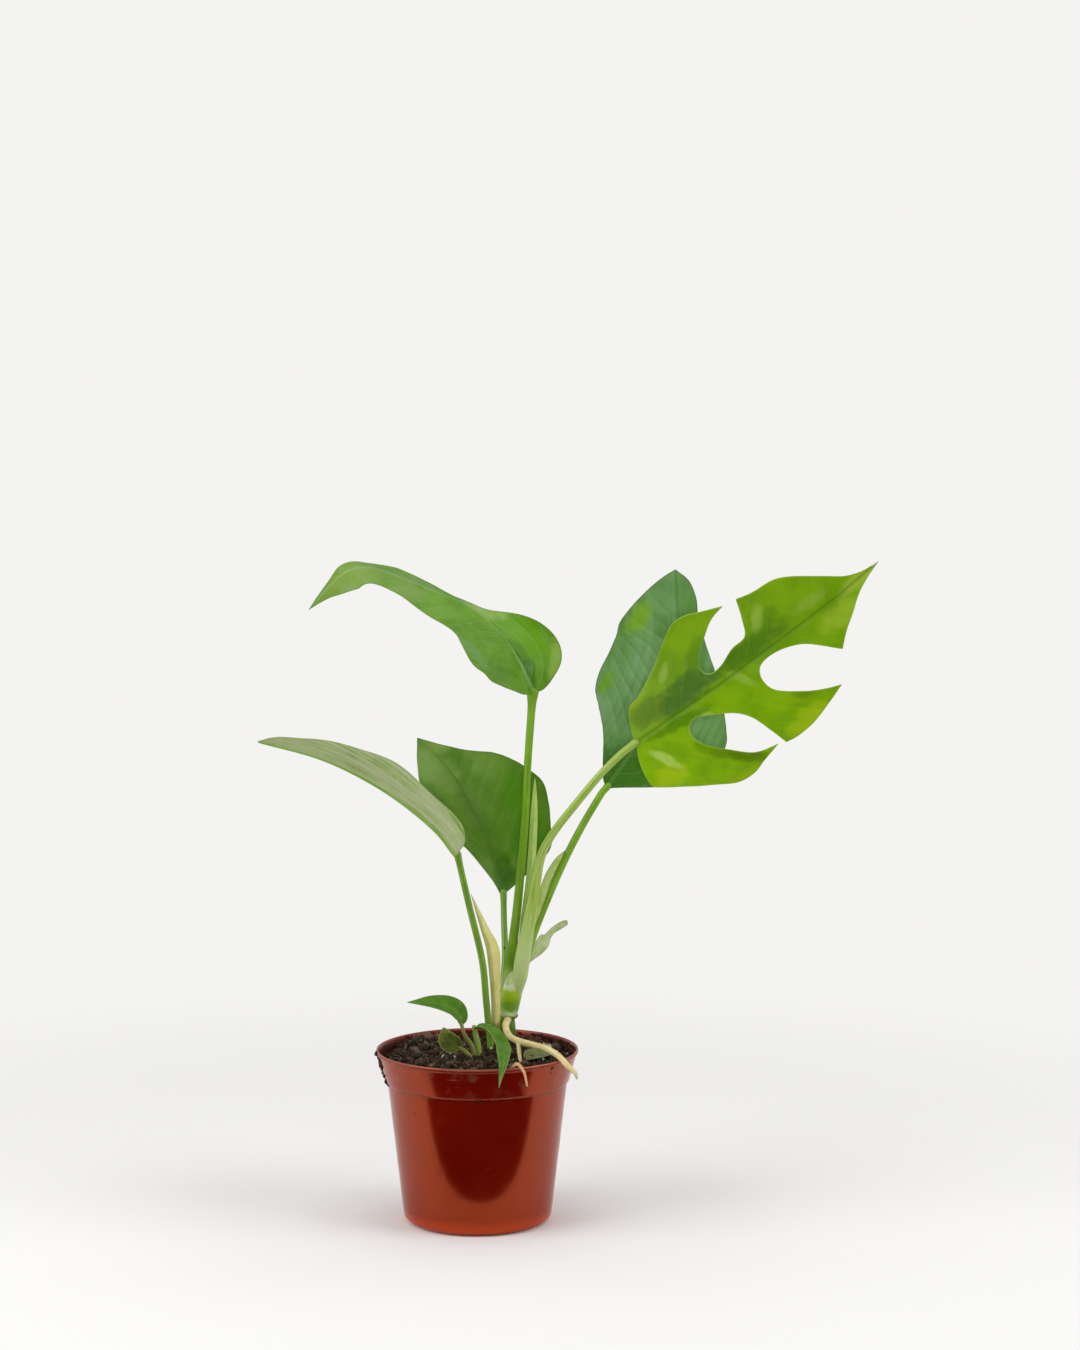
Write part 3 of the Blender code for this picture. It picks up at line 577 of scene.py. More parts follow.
# %% Make a blade
def leaf(name, slot, node, blade, runs, finishes, pitch=1.25, vein_gap=13.0, vein_lean=0.75, vein_bow=0.004,
         quilt=0.35, wave=0.5, rib_depth=0.5, rib_width=1.3, thickness=0.5, rib_thickness=1.9,
         columns=(0.0, 0.6, 1.2, 2.0, 3.0)):
    """The finishes are that of the face that the blade's `up` points to, and that of the other face."""
    outline = closed_outline(runs)
    spots = np.vstack([outline, fill_points(outline, blade.length, pitch, columns)])
    points = [Vector(spot) for spot in spots]
    ring = list(range(len(outline)))
    flat, _, faces, *_ = geometry.delaunay_2d_cdt(points, [], [ring], 1, 1e-5)
    flat = np.array([tuple(point) for point in flat])
    along, across = flat[:, 0], flat[:, 1]
    reach = np.abs(across)
    edge, _ = edge_distance(flat, outline)

    phase = vein_phase(along, across, vein_gap, vein_lean, vein_bow)
    to_vein = np.abs((phase + 0.5) % 1.0 - 0.5) * vein_gap
    furrow = np.exp(-(to_vein / FURROW_WIDTH) ** 2)
    taper = np.clip(1.0 - 0.8 * along / blade.length, 0.15, 1.0)
    half_rib = rib_width * (0.4 + 0.6 * taper)
    settle_in = np.clip((reach - 1.0) / 8.0, 0, 1) * np.clip(edge / 5.0, 0, 1)
    relief = quilt * (0.5 - furrow + 0.4 * np.sin(along / 13.0 + across / 8.0)) * settle_in
    relief -= rib_depth * np.exp(-(reach / half_rib) ** 2) * taper
    near_edge = np.clip(1 - edge / 9.0, 0, 1) ** 2 * np.clip(reach / 8, 0, 1)
    relief += wave * np.sin(along / 6.6 + across / 9.0) * near_edge

    mesh = bpy.data.meshes.new(name)
    mesh.from_pydata(blade.at(along, across) * MM, [], [tuple(face) for face in faces])
    facing = blade.read(blade.up, along)
    normals = np.array([face.normal for face in mesh.polygons])
    corners = np.array([face.vertices[0] for face in mesh.polygons])
    if (normals * facing[corners]).sum() < 0:
        mesh.flip_normals()
    out = np.array([vertex.normal for vertex in mesh.vertices])
    places = np.array([vertex.co for vertex in mesh.vertices]) + out * (relief * MM)[:, None]
    mesh.vertices.foreach_set("co", places.ravel())
    keep_values(mesh, {"along": along, "across": across, "phase": phase, "edge": edge,
                       "rib": reach / (1.5 * half_rib),
                       "fibre": np.column_stack([across, np.zeros(len(across)), along])})
    for finish in finishes:
        mesh.materials.append(finish)

    piece = settle(name, mesh, slot, node)
    swell = np.exp(-(reach / (1.3 * half_rib)) ** 2) * taper
    swell = np.maximum(swell, 0.16 * furrow * np.clip(edge / 4.0, 0, 1))
    give_thickness(piece, swell, thickness, rib_thickness)
    return made_real(piece)

# %% [markdown]
# ## Leaf tissue
# A blade is not one green. The tissue is mottled, paler veins run through it, the rib is a darker or a
# paler line, the margin is thin and lets light through, and the underside is greyer. Light that enters
# the back of a leaf also comes out at the front, which subsurface scattering gives. Soft patches paint
# the shade and the highlights on each blade. One function makes both faces of a blade, and each leaf
# gets its own greens, from the dull old leaf to the bright new one.

# %% Leaf finish
LIGHT_PATHS = (0.35, 0.9, 0.12)
LEAF_GLOW = 0.2


def leaf_finish(name, deep, fresh, vein, rib, margin, vein_share=0.4, fine_share=0.3, fine_count=5.0,
                rib_share=0.7, edge_share=0.5, roughness=0.42, coat=0.04, mottle=(14.0, 0.36, 0.64),
                patches=(), streaks=None):
    """Colours are linear; each patch is (along, across, length, breadth, lean, colour, share)."""
    material, tree, shader = new_finish(name)
    size, low, high = mottle
    cloud = apply_effect(tree, MOTTLE, "Mask", Size=size, Low=low, High=high)
    lines = {"Width": 0.1, "Fine_Count": fine_count}
    colour = tint(tree, cloud, deep, fresh)
    if streaks:
        width, length, shade, share = streaks
        mask = apply_effect(tree, STREAKS, "Streak", Width=width, Length=length)
        colour = over(tree, colour, shade, mask, share)
    # Painted shade and painted highlights, one soft patch each.
    for along, across, length, breadth, lean, shade, share in patches:
        place = {"Along": along, "Across": across, "Length": length, "Breadth": breadth, "Lean": lean}
        colour = over(tree, colour, shade, apply_effect(tree, LIGHT_PATCH, "Mask", **place), share)
    fine = maths(tree, "MULTIPLY", apply_effect(tree, VEINS, "Fine", **lines), fine_share)
    colour = tint(tree, fine, colour, vein)
    for output, shade, share in (("Vein", vein, vein_share), ("Rib", rib, rib_share),
                                 ("Margin", margin, edge_share)):
        colour = over(tree, colour, shade, apply_effect(tree, VEINS, output, **lines), share)
    rough = maths(tree, "MULTIPLY_ADD", grain(tree, 6.0, detail=1.0), 0.12, roughness - 0.06)
    lumps = maths(tree, "MULTIPLY", grain(tree, 4.0, detail=0.0), 0.5)
    height = maths(tree, "MULTIPLY_ADD", fine, 0.8, lumps)
    dress(tree, shader, colour, rough, height, relief=0.1, coat_weight=coat, coat_roughness=0.22,
          specular_ior_level=0.22, subsurface_weight=LEAF_GLOW, subsurface_radius=LIGHT_PATHS,
          subsurface_scale=0.0008)
    return material


# %% [markdown]
# ## The split leaf
# The newest blade is the one that gives the plant its name: thin, glossy and bright yellow-green, with
# deep bays between its lobes. Its outline is drawn run by run, and two runs meet at each lobe's tip.

# %% Split leaf
SHADE = (0.035, 0.13, 0.0)
HALF_SHADE = (0.07, 0.2, 0.0)
SHEEN = (0.3, 0.44, 0.06)
SUNNY = (0.29, 0.43, 0.003)
# Painted light: SHADE and HALF_SHADE patches are painted shade beside the rib and in the folds, SHEEN and
# SUNNY patches painted highlights.
SPLIT_PATCHES = [
    (48, -12, 34, 12, -8, SHADE, 0.9), (92, -9, 30, 9, 0, (0.06, 0.17, 0.0), 0.85),
    (20, -15, 16, 10, -20, (0.1, 0.2, 0.0), 0.8), (70, -30, 16, 7, -35, HALF_SHADE, 0.6),
    (111, -17, 14, 6, -30, (0.08, 0.21, 0.0), 0.7), (121, -34, 9, 10, 0, (0.13, 0.3, 0.0), 0.5),
    (103, 32, 9, 5, 20, (0.11, 0.21, 0.0), 0.8), (50, 40, 19, 5, 38, (0.075, 0.15, 0.0), 0.9),
    (38, 28, 14, 5, 40, (0.11, 0.22, 0.0), 0.7), (30, 5, 26, 4, 6, (0.05, 0.165, 0.0), 0.7),
    (25, -30, 15, 6, -40, SUNNY, 0.6), (96, 47, 17, 8, 0, SUNNY, 0.85), (6, 29, 13, 9, 10, SUNNY, 0.85),
    (50, 54, 18, 4.5, 8, (0.23, 0.37, 0.0), 0.8), (148, 10, 17, 8, 0, (0.27, 0.41, 0.02), 0.85),
    (101, -33, 12, 6, -60, (0.26, 0.43, 0.02), 0.85), (165, 0, 14, 5, 0, (0.33, 0.45, 0.05), 0.7),
    (47, -32, 10, 3, -40, SHEEN, 0.65), (110, -23, 12, 4, -50, SHEEN, 0.6), (138, -9, 12, 5, 0, SHEEN, 0.4),
    (10, 18, 12, 3.5, 60, (0.36, 0.5, 0.1), 0.75), (47, 11, 5, 3, 20, SHEEN, 0.6),
    (77, 4, 11, 3, 60, SHEEN, 0.5)]
split_upper = leaf_finish("split_leaf_upper", (0.14, 0.3, 0.0), (0.19, 0.36, 0.0), (0.25, 0.42, 0.02),
                          (0.045, 0.15, 0.0), (0.3, 0.42, 0.06), vein_share=0.09, fine_share=0.08,
                          rib_share=0.35, edge_share=0.4, roughness=0.3, coat=0.1, mottle=(22.0, 0.38, 0.62),
                          patches=SPLIT_PATCHES)
split_under = leaf_finish("split_leaf_under", (0.17, 0.32, 0.02), (0.22, 0.37, 0.035), (0.28, 0.4, 0.08),
                          (0.3, 0.4, 0.09), (0.3, 0.4, 0.08), roughness=0.5, coat=0.0)

SPLIT_RIB = [(94, 2, 286), (138, -18, 319), (173, -32, 347), (204, -42, 372), (232, -44, 396)]
SPLIT_OUTLINE = [
    [(0, -1.5), (4, -9), (14, -23), (26, -28), (47, -40), (70, -55), (82, -57), (92, -52), (102, -45)],
    [(102, -45), (92, -43), (81, -36), (70, -27), (64, -17), (66, -11), (74, -11), (86, -16), (97, -18),
     (104, -30), (110, -43)],
    [(110, -43), (119, -40), (132, -37), (142, -29), (152, -18), (162, -7), (173, -1.5), (183, 0)],
    [(183, 0), (172, 3), (162, 7), (153, 13), (144, 19), (136, 26)],
    [(136, 26), (122, 12), (110, 6), (98, 4), (90, 6), (87, 13), (90, 22), (103, 32), (114, 38), (124, 42)],
    [(124, 42), (112, 46), (97, 50), (84, 51), (76, 50)],
    [(76, 50), (73, 38), (69, 27), (62, 19), (50, 12), (40, 8), (34, 10), (32, 16), (36, 24), (46, 34),
     (58, 44), (72, 48)],
    [(72, 48), (60, 51), (50, 54), (38, 53), (25, 46), (10, 38), (-2, 31), (-7, 26), (-6, 14), (-3, 6),
     (0, 1.5)],
    [(0, 1.5), (0, -1.5)]]
split_blade = Blade(SPLIT_RIB, fold_left=(30, 35, 35, 30, 20), fold_right=(8, 10, 12, 15, 15),
                    curl_left=(-10, -10, -5, 0, 0), curl_right=(-15, -15, -15, -10, 0), half=60)
leaf("split_leaf", "leaf_young", "leaf_split", split_blade, SPLIT_OUTLINE, (split_upper, split_under),
     vein_gap=15.0, vein_lean=0.8, vein_bow=0.003, quilt=0.38, rib_depth=0.35)

# %% [markdown]
# ## The four whole leaves
# The older blades are heart-shaped and uncut. The blade behind the split leaf is bluish, because it
# mirrors the room at a flat angle; that reflection is also painted into its colour as a blue tint and
# long pale streaks. The back blade is broad and dull, the top left one is twisted so that its far half
# cups, and the low left one hangs over so that its pale underside shows.

# %% Blue-green leaf on the right
# Painted reflection: the blue in these greens and the pale lengthwise streaks stand for the room mirrored at
# a flat angle.
blue_upper = leaf_finish("blue_leaf_upper", (0.07, 0.18, 0.032), (0.1, 0.22, 0.058), (0.125, 0.245, 0.09),
                         (0.08, 0.19, 0.03), (0.08, 0.06, 0.03), vein_share=0.14, fine_share=0.15,
                         fine_count=4.0, mottle=(16.0, 0.36, 0.62),
                         streaks=(3.2, 70.0, (0.14, 0.26, 0.11), 0.5),
                         patches=[(115, -25, 15, 8, 30, (0.14, 0.28, 0.006), 0.85),
                                  (57, -38, 11, 5, 10, (0.11, 0.25, 0.004), 0.85),
                                  (121, 11, 12, 6, 0, (0.08, 0.2, 0.02), 0.6),
                                  (12, 2, 30, 22, 20, (0.028, 0.11, 0.0), 0.95)])
blue_under = leaf_finish("blue_leaf_under", (0.1, 0.2, 0.05), (0.14, 0.25, 0.08), (0.19, 0.3, 0.12),
                         (0.22, 0.32, 0.14), (0.16, 0.19, 0.08), roughness=0.55, coat=0.0)
BLUE_OUTLINE = [
    [(0, -1.5), (3, -6), (12, -14), (24, -24), (36, -35), (48, -42), (62, -44), (80, -42), (100, -39),
     (112, -37), (122, -30), (131, -20), (139, -9), (144, 0)],
    [(144, 0), (137, 8), (126, 12), (113, 13), (100, 18), (88, 26), (75, 35), (62, 44), (54, 48), (42, 47),
     (31, 39), (20, 28), (11, 16.5), (4, 7), (0, 1.5)],
    [(0, 1.5), (0, -1.5)]]
BLUE_RIB = [(78, 40, 255), (104, 51, 293), (120, 59, 337), (120, 62, 385)]
blue_blade = Blade(BLUE_RIB, fold_left=(25, 25, 20, 15), fold_right=(12, 12, 10, 10),
                   curl_left=(-15, -15, -10, 0), curl_right=(-15, -15, -10, 0), half=45)
leaf("blue_leaf", "leaf_blue", "leaf_right_back", blue_blade, BLUE_OUTLINE, (blue_upper, blue_under),
     vein_gap=12.0, quilt=0.22, rib_depth=0.4)

# %% Broad leaf at the back
# Painted light: the pale patches towards the tip are painted sheen and the dark ones near the base painted
# shade.
broad_upper = leaf_finish("broad_leaf_upper", (0.06, 0.155, 0.004), (0.09, 0.195, 0.014), (0.13, 0.23, 0.04),
                          (0.09, 0.18, 0.02), (0.06, 0.13, 0.01), vein_share=0.16, fine_share=0.12,
                          rib_share=0.4, roughness=0.48, coat=0.0, mottle=(20.0, 0.35, 0.65),
                          patches=[(87, -9, 26, 14, 0, (0.15, 0.25, 0.05), 0.75),
                                   (81, 22, 20, 12, 0, (0.12, 0.225, 0.03), 0.7),
                                   (103, 6, 12, 8, 0, (0.17, 0.26, 0.05), 0.7),
                                   (58, -2, 16, 8, 10, (0.1, 0.19, 0.04), 0.5),
                                   (49, 29, 18, 11, 0, (0.05, 0.175, 0.0), 0.85),
                                   (22, 24, 16, 13, 0, (0.035, 0.145, 0.0), 0.9),
                                   (9, 4, 16, 8, 0, (0.022, 0.085, 0.0), 0.85)])
broad_under = leaf_finish("broad_leaf_under", (0.1, 0.2, 0.04), (0.14, 0.25, 0.06), (0.2, 0.3, 0.1),
                          (0.22, 0.32, 0.12), (0.12, 0.18, 0.05), roughness=0.55, coat=0.0)
BROAD_OUTLINE = [
    [(0, -1.5), (10, -5), (21, -12), (30, -19), (40, -28), (52, -34), (66, -35), (80, -30), (92, -22),
     (103, -12), (110, -4), (114, 0)],
    [(114, 0), (108, 3), (98, 8), (87, 16), (77, 29), (68, 37), (60, 42), (51, 46), (41, 44), (30, 40),
     (20, 37), (14, 31), (8, 20), (2, 7), (0, 1.5)],
    [(0, 1.5), (0, -1.5)]]
BROAD_RIB = [(15, 45, 189), (2, 58, 227), (-17, 71, 260), (-39, 80, 281)]
broad_blade = Blade(BROAD_RIB, fold_left=(25, 50, 55, 50, 30), fold_right=(5, 5, 10, 10),
                    curl_right=(-15, -15, 0, 0), half=45)
leaf("broad_leaf", "leaf_mature", "leaf_back", broad_blade, BROAD_OUTLINE, (broad_upper, broad_under),
     vein_gap=11.0, quilt=0.28, rib_depth=0.4)

# %% Twisted leaf at the top left
# Painted light: dark patches are painted shade in the cupped far half, along the fold and in the crease
# before the tip, and a pale one is painted sheen along the near margin.
twisted_upper = leaf_finish("twisted_leaf_upper", (0.08, 0.21, 0.006), (0.115, 0.26, 0.015),
                            (0.16, 0.3, 0.06), (0.22, 0.37, 0.12), (0.12, 0.2, 0.04),
                            vein_share=0.35, fine_share=0.3,
                            fine_count=3.0, rib_share=0.55, mottle=(15.0, 0.36, 0.64),
                            patches=[(152, -6, 30, 15, 0, (0.17, 0.27, 0.04), 0.9),
                                     (110, -11, 13, 12, 0, (0.19, 0.28, 0.07), 0.6),
                                     (127, -8, 3.5, 13, 0, (0.1, 0.2, 0.02), 0.5),
                                     (31, 8, 15, 6, 10, (0.06, 0.155, 0.01), 0.7),
                                     (62, -36, 26, 5, 0, (0.14, 0.26, 0.1), 0.5),
                                     (30, -24, 15, 8, -30, (0.09, 0.21, 0.04), 0.5),
                                     (28, 24, 20, 11, 30, (0.1, 0.26, 0.0), 0.9),
                                     (52, 34, 15, 10, 0, (0.25, 0.37, 0.09), 0.85),
                                     (12, 3, 13, 5, 30, (0.03, 0.13, 0.0), 0.85),
                                     (12, 22, 15, 3.2, 50, (0.21, 0.33, 0.05), 0.9),
                                     (50, 2.2, 46, 1.8, 0, (0.03, 0.11, 0.0), 0.95)])
twisted_under = leaf_finish("twisted_leaf_under", (0.16, 0.28, 0.04), (0.21, 0.34, 0.06), (0.27, 0.38, 0.12),
                            (0.28, 0.39, 0.14), (0.14, 0.21, 0.05), roughness=0.5, coat=0.0)
TWISTED_RIB = [(34, 15, 314), (21, 5, 342), (8, -2, 358), (-8, -9, 370), (-27, -15, 378), (-46, -20, 386),
               (-62, -25, 391), (-74, -28, 389), (-85, -31, 380), (-97, -34, 366)]
TWISTED_OUTLINE = [
    [(0, -1.5), (5, -9), (11, -15), (21, -25), (34, -36), (48, -43), (60, -44.5), (71, -40), (79, -34.5),
     (88, -30), (97, -27), (107, -24), (117, -19), (127, -16), (138, -16), (149, -16), (158, -11), (166, -6),
     (174, -2.4), (181, 0)],
    [(181, 0), (174, 0.8), (166, 1.6), (158, 3.2), (150, 7), (140, 11.5), (126, 17), (110, 22), (95, 27),
     (78, 32), (60, 36), (45, 37), (32, 36.5), (20, 32), (10, 24), (3, 13), (0, 6), (0, 1.5)],
    [(0, 1.5), (0, -1.5)]]
twisted_blade = Blade(TWISTED_RIB, roll=(35, 38, 42, 45, 45, 45, 35, 15, 0),
                      fold_left=(14, 16, 18, 14, 16, 18, 24, 12, 0),
                      fold_right=(36, -26, -74, -78, -52, -41, -46, -5, 0),
                      curl_right=(60, 110, 110, 110, 60, 30, 0, 0, 0), half=38)
leaf("twisted_leaf", "leaf_mature", "leaf_top_left", twisted_blade, TWISTED_OUTLINE,
     (twisted_upper, twisted_under), vein_gap=10.0, vein_lean=1.0, quilt=0.36)

# %% Drooping leaf at the low left
drooping_upper = leaf_finish("drooping_leaf_upper", (0.05, 0.16, 0.003), (0.08, 0.21, 0.01),
                             (0.13, 0.26, 0.05), (0.16, 0.3, 0.06), (0.1, 0.17, 0.03))
drooping_under = leaf_finish("drooping_leaf_under", (0.22, 0.335, 0.08), (0.3, 0.4, 0.135),
                             (0.35, 0.43, 0.19), (0.16, 0.36, 0.02), (0.2, 0.27, 0.08),
                             vein_share=0.14, fine_share=0.14,
                             fine_count=3.0, roughness=0.55, coat=0.0, mottle=(11.0, 0.35, 0.65),
                             streaks=(1.7, 50.0, (0.46, 0.49, 0.3), 0.8),
                             patches=[(120, 0, 24, 12, 0, (0.38, 0.45, 0.2), 0.75),
                                      (18, -27, 14, 3, 0, (0.13, 0.26, 0.02), 0.8),
                                      (70, -10, 36, 4, 4, (0.38, 0.42, 0.25), 0.5)])
DROOPING_RIB = [(-12, 3, 219), (-26, -4, 237), (-54, -14, 260), (-88, -26, 279), (-126, -38, 291)]
DROOPING_OUTLINE = [
    [(0, -1.5), (3, -6), (9, -18), (14, -25), (20, -29.5), (27, -29), (36, -27), (46, -26.5), (58, -27),
     (70, -26), (82, -23.5), (94, -19.5), (106, -15.5), (118, -12.5), (130, -9), (138, -5), (144, 0)],
    [(144, 0), (138, 3.5), (126, 9), (108, 16), (88, 22), (70, 27), (54, 31.5), (42, 34), (31, 36),
     (21, 34.5), (11, 31), (4, 25), (0, 17), (-1, 8), (0, 1.5)],
    [(0, 1.5), (0, -1.5)]]
drooping_blade = Blade(DROOPING_RIB, roll=(80, 85, 90, 90, 90), fold_left=(35, 42, 47, 52, 52),
                       fold_right=(10, 14, 18, 15, 10), curl_left=(-5, 0, 0), curl_right=(-5, 0, 0), half=35)
leaf("drooping_leaf", "leaf_mature", "leaf_low_left", drooping_blade, DROOPING_OUTLINE,
     (drooping_upper, drooping_under), vein_gap=12.0, vein_lean=1.1, quilt=0.12)

# %% [markdown]
# ## Stalks
# A leaf stalk is a juicy, nearly round rod. A bevelled curve would make it, but not the shallow channel
# on its inner side, the fine ribs along it or the swollen joint under the blade. So the rod is swept:
# rings of points follow the route, and a function says how far each point of a ring stands out.

# %% Sweep a rod
def ring_faces(rings, around, inward=False):
    """Four-sided faces between neighbouring rings of points."""
    faces = []
    for ring in range(rings - 1):
        low, high = ring * around, (ring + 1) * around
        for k in range(around):
            after = (k + 1) % around
            face = (low + k, low + after, high + after, high + k)
            faces.append(face[:1] + face[:0:-1] if inward else face)
    return faces


def rod_faces(rings, around):
    """The faces of a rod of rings, with both ends closed."""
    first = tuple(range(around))[::-1]
    last = tuple(range((rings - 1) * around, rings * around))
    return ring_faces(rings, around) + [first, last]


def tube(name, slot, nodes, route, radii, finish, around=24, pitch=1.2, shape=None, rounded=(False, True),
         start_beyond=0.0, end_beyond=0.0):
    """A swept rod; `shape(along, turns)` gives each point's radius as a share of the plain one."""
    line = smooth_route(route, 14)
    sizes = np.interp(np.linspace(0, 1, len(line)), np.linspace(0, 1, len(radii)), radii)
    if start_beyond:
        back = (line[0] - line[1]) / np.linalg.norm(line[0] - line[1])
        line = np.vstack([line[0] + back * start_beyond, line])
        sizes = np.concatenate([sizes[:1], sizes])
    if end_beyond:
        ahead = (line[-1] - line[-2]) / np.linalg.norm(line[-1] - line[-2])
        line = np.vstack([line, line[-1] + ahead * end_beyond])
        sizes = np.concatenate([sizes, sizes[-1:]])
    reach = reach_along(line)
    count = max(int(reach[-1] / pitch), 4)
    stops = np.linspace(0, reach[-1], count)
    spots = np.stack([np.interp(stops, reach, line[:, k]) for k in range(3)], 1)
    size = np.interp(stops, reach, sizes)
    tangent = np.gradient(spots, axis=0)
    tangent /= np.linalg.norm(tangent, axis=1)[:, None]
    side = np.cross(tangent[0], (0.0, 1.0, 0.0))
    side /= np.linalg.norm(side)
    turns = np.arange(around) / around
    rings, fibres = [], []
    caps = {0: (rounded[0], -1.0), count - 1: (rounded[1], 1.0)}

    def ring(index, shrink, push):
        other = np.cross(tangent[index], side)
        swell = shape(stops[index], turns) if shape else np.ones(around)
        circle = (np.cos(2 * np.pi * turns)[:, None] * side + np.sin(2 * np.pi * turns)[:, None] * other)
        radius = size[index] * swell[:, None] * shrink
        rings.append(spots[index] + circle * radius + tangent[index] * push * size[index])
        turning = np.stack([np.cos(2 * np.pi * turns), np.sin(2 * np.pi * turns)], 1) * size[index]
        fibres.append(np.column_stack([turning, np.full(around, stops[index])]))

    for index in range(count):
        side = side - tangent[index] * (side @ tangent[index])
        side /= np.linalg.norm(side)
        if index == 0 and caps[0][0]:
            for angle in (80, 55, 28):
                ring(0, math.cos(math.radians(angle)), -math.sin(math.radians(angle)))
        ring(index, 1.0, 0.0)
        if index == count - 1 and caps[index][0]:
            for angle in (28, 55, 80):
                ring(index, math.cos(math.radians(angle)), math.sin(math.radians(angle)))
    faces = rod_faces(len(rings), around)
    mesh = bpy.data.meshes.new(name)
    mesh.from_pydata(np.concatenate(rings) * MM, [], faces)
    keep_values(mesh, {"fibre": np.concatenate(fibres)})
    mesh.materials.append(finish)
    smooth_faces(mesh)
    piece = settle(name, mesh, slot, *nodes)
    print(name, round(float(reach[-1])), "mm long,", 2 * len(faces), "triangles")
    return piece


# %% [markdown]
# ## Skin of stalks, sheaths and roots
# All of them are made of fibres that run lengthwise, so their colour lies in long thin streaks. A stalk
# is green and glossy, a sheath is papery and drying at its edges, and a root is corky. They share one
# finish with different colours, streak widths and gloss, and specks of soil cling to the lower ones.

# %% Fibrous finish
SOIL_SPECK = (0.02, 0.012, 0.006)


def fibrous_finish(name, dark, light, pale, streak=(0.7, 28.0), share=0.6, roughness=0.4, coat=0.1,
                   low_end=None, soil=0.0, relief=0.12, patch_size=16.0):
    """`low_end` is (height where the lower colour ends, height where it begins, colour), in millimetres."""
    material, tree, shader = new_finish(name)
    lines = {"Width": streak[0], "Length": streak[1]}
    cloud = apply_effect(tree, MOTTLE, "Mask", Size=patch_size, Low=0.35, High=0.65)
    colour = tint(tree, cloud, dark, light)
    colour = over(tree, colour, pale, apply_effect(tree, STREAKS, "Streak", **lines), share)
    if low_end:
        upper, lower, shade = low_end
        uneven = maths(tree, "MULTIPLY_ADD", grain(tree, 5.0), 6.0 * MM, height_above_floor(tree))
        colour = tint(tree, between(tree, uneven, (upper + 3.0) * MM, (lower + 3.0) * MM), colour, shade)
    if soil:
        dirt = apply_effect(tree, SPECKS, "Mask", Spacing=2.6, Size=0.3, Share=soil)
        colour = tint(tree, dirt, colour, SOIL_SPECK)
    rough = maths(tree, "MULTIPLY_ADD", grain(tree, 2.0, detail=4.0), 0.15, roughness - 0.07)
    height = maths(tree, "MULTIPLY_ADD", apply_effect(tree, STREAKS, "Ridge", **lines), 1.0,
                   maths(tree, "MULTIPLY", grain(tree, 0.4), 0.3))
    dress(tree, shader, colour, rough, height, relief=relief, coat_weight=coat, coat_roughness=0.2,
          specular_ior_level=0.3, subsurface_weight=LEAF_GLOW, subsurface_radius=LIGHT_PATHS,
          subsurface_scale=0.0012)
    return material


def channelled(depth=0.1, ribs=0.012, facing=0.25, count=14, swollen=None):
    """A rod's cross-section: fine ribs, a shallow channel on one side, and a swollen joint at the end."""
    def shape(along, turns):
        away = np.abs((turns - facing + 0.5) % 1.0 - 0.5) * 2 * np.pi
        ring = 1.0 + ribs * np.cos(2 * np.pi * count * turns) - depth * np.exp(-(away / 0.45) ** 2)
        if swollen:
            place, width, amount = swollen
            ring = ring + amount * math.exp(-((along - place) / width) ** 2)
        return ring
    return shape


# %% Five leaf stalks
STALK_TOP_LEFT = [(18.4, 21.6, 142.9), (20.6, 20.5, 160), (24.1, 18, 189.3), (28.3, 16, 237.9),
                  (30.1, 15, 274), (32.2, 15, 304), (32.8, 15, 312.6)]
STALK_LOW_LEFT = [(8.5, 6.5, 84), (7.6, 7, 104), (6.2, 7.5, 118), (5.0, 8, 130.5), (2.6, 8, 154.7),
                  (-4.4, 6, 185.2), (-9.0, 4, 206), (-11.4, 3.1, 217.2)]
STALK_SPLIT = [(23.0, 20.0, 132.0), (25.3, 17.4, 143.0), (27.0, 15.5, 155), (33.1, 12, 190),
               (37.3, 10, 214.7), (44.4, 8, 230), (58.1, 6, 248.2), (72.9, 4, 266.4), (84.7, 3, 278.4),
               (92.2, 2.2, 284.6)]
SPLIT_STALK_RADII = [3.2, 4.5, 4.7, 3.5, 2.7, 2.4, 2.3, 2.2, 2.2, 2.1]
STALK_RIGHT_BACK = [(26.9, 24.1, 143.0), (30.2, 25.6, 156), (35.5, 28, 172.4), (49.4, 34, 205),
                    (61.5, 37, 229), (73.6, 39, 249.5), (77.0, 40, 253.8)]
STALK_BACK = [(12.5, 31, 86), (12.6, 30.6, 112), (13.6, 31.4, 126), (16.0, 35.5, 149.6), (15.4, 42, 173),
              (15.1, 44.8, 187.6)]

green_stalk = fibrous_finish("stalk_mid_green", (0.1, 0.23, 0.001), (0.14, 0.3, 0.003), (0.2, 0.36, 0.03),
                             low_end=(152, 144, (0.28, 0.4, 0.08)))
pale_stalk = fibrous_finish("stalk_pale_green", (0.19, 0.32, 0.02), (0.25, 0.37, 0.035), (0.4, 0.49, 0.15),
                            streak=(0.6, 40.0), share=0.75, low_end=(190, 152, (0.42, 0.53, 0.2)))
low_stalk = fibrous_finish("stalk_low_green", (0.08, 0.2, 0.002), (0.12, 0.26, 0.006), (0.22, 0.35, 0.05),
                           soil=0.05)
back_stalk = fibrous_finish("stalk_back_green", (0.09, 0.23, 0.006), (0.13, 0.28, 0.012), (0.27, 0.4, 0.11),
                            low_end=(150, 126, (0.38, 0.46, 0.2)), soil=0.12)

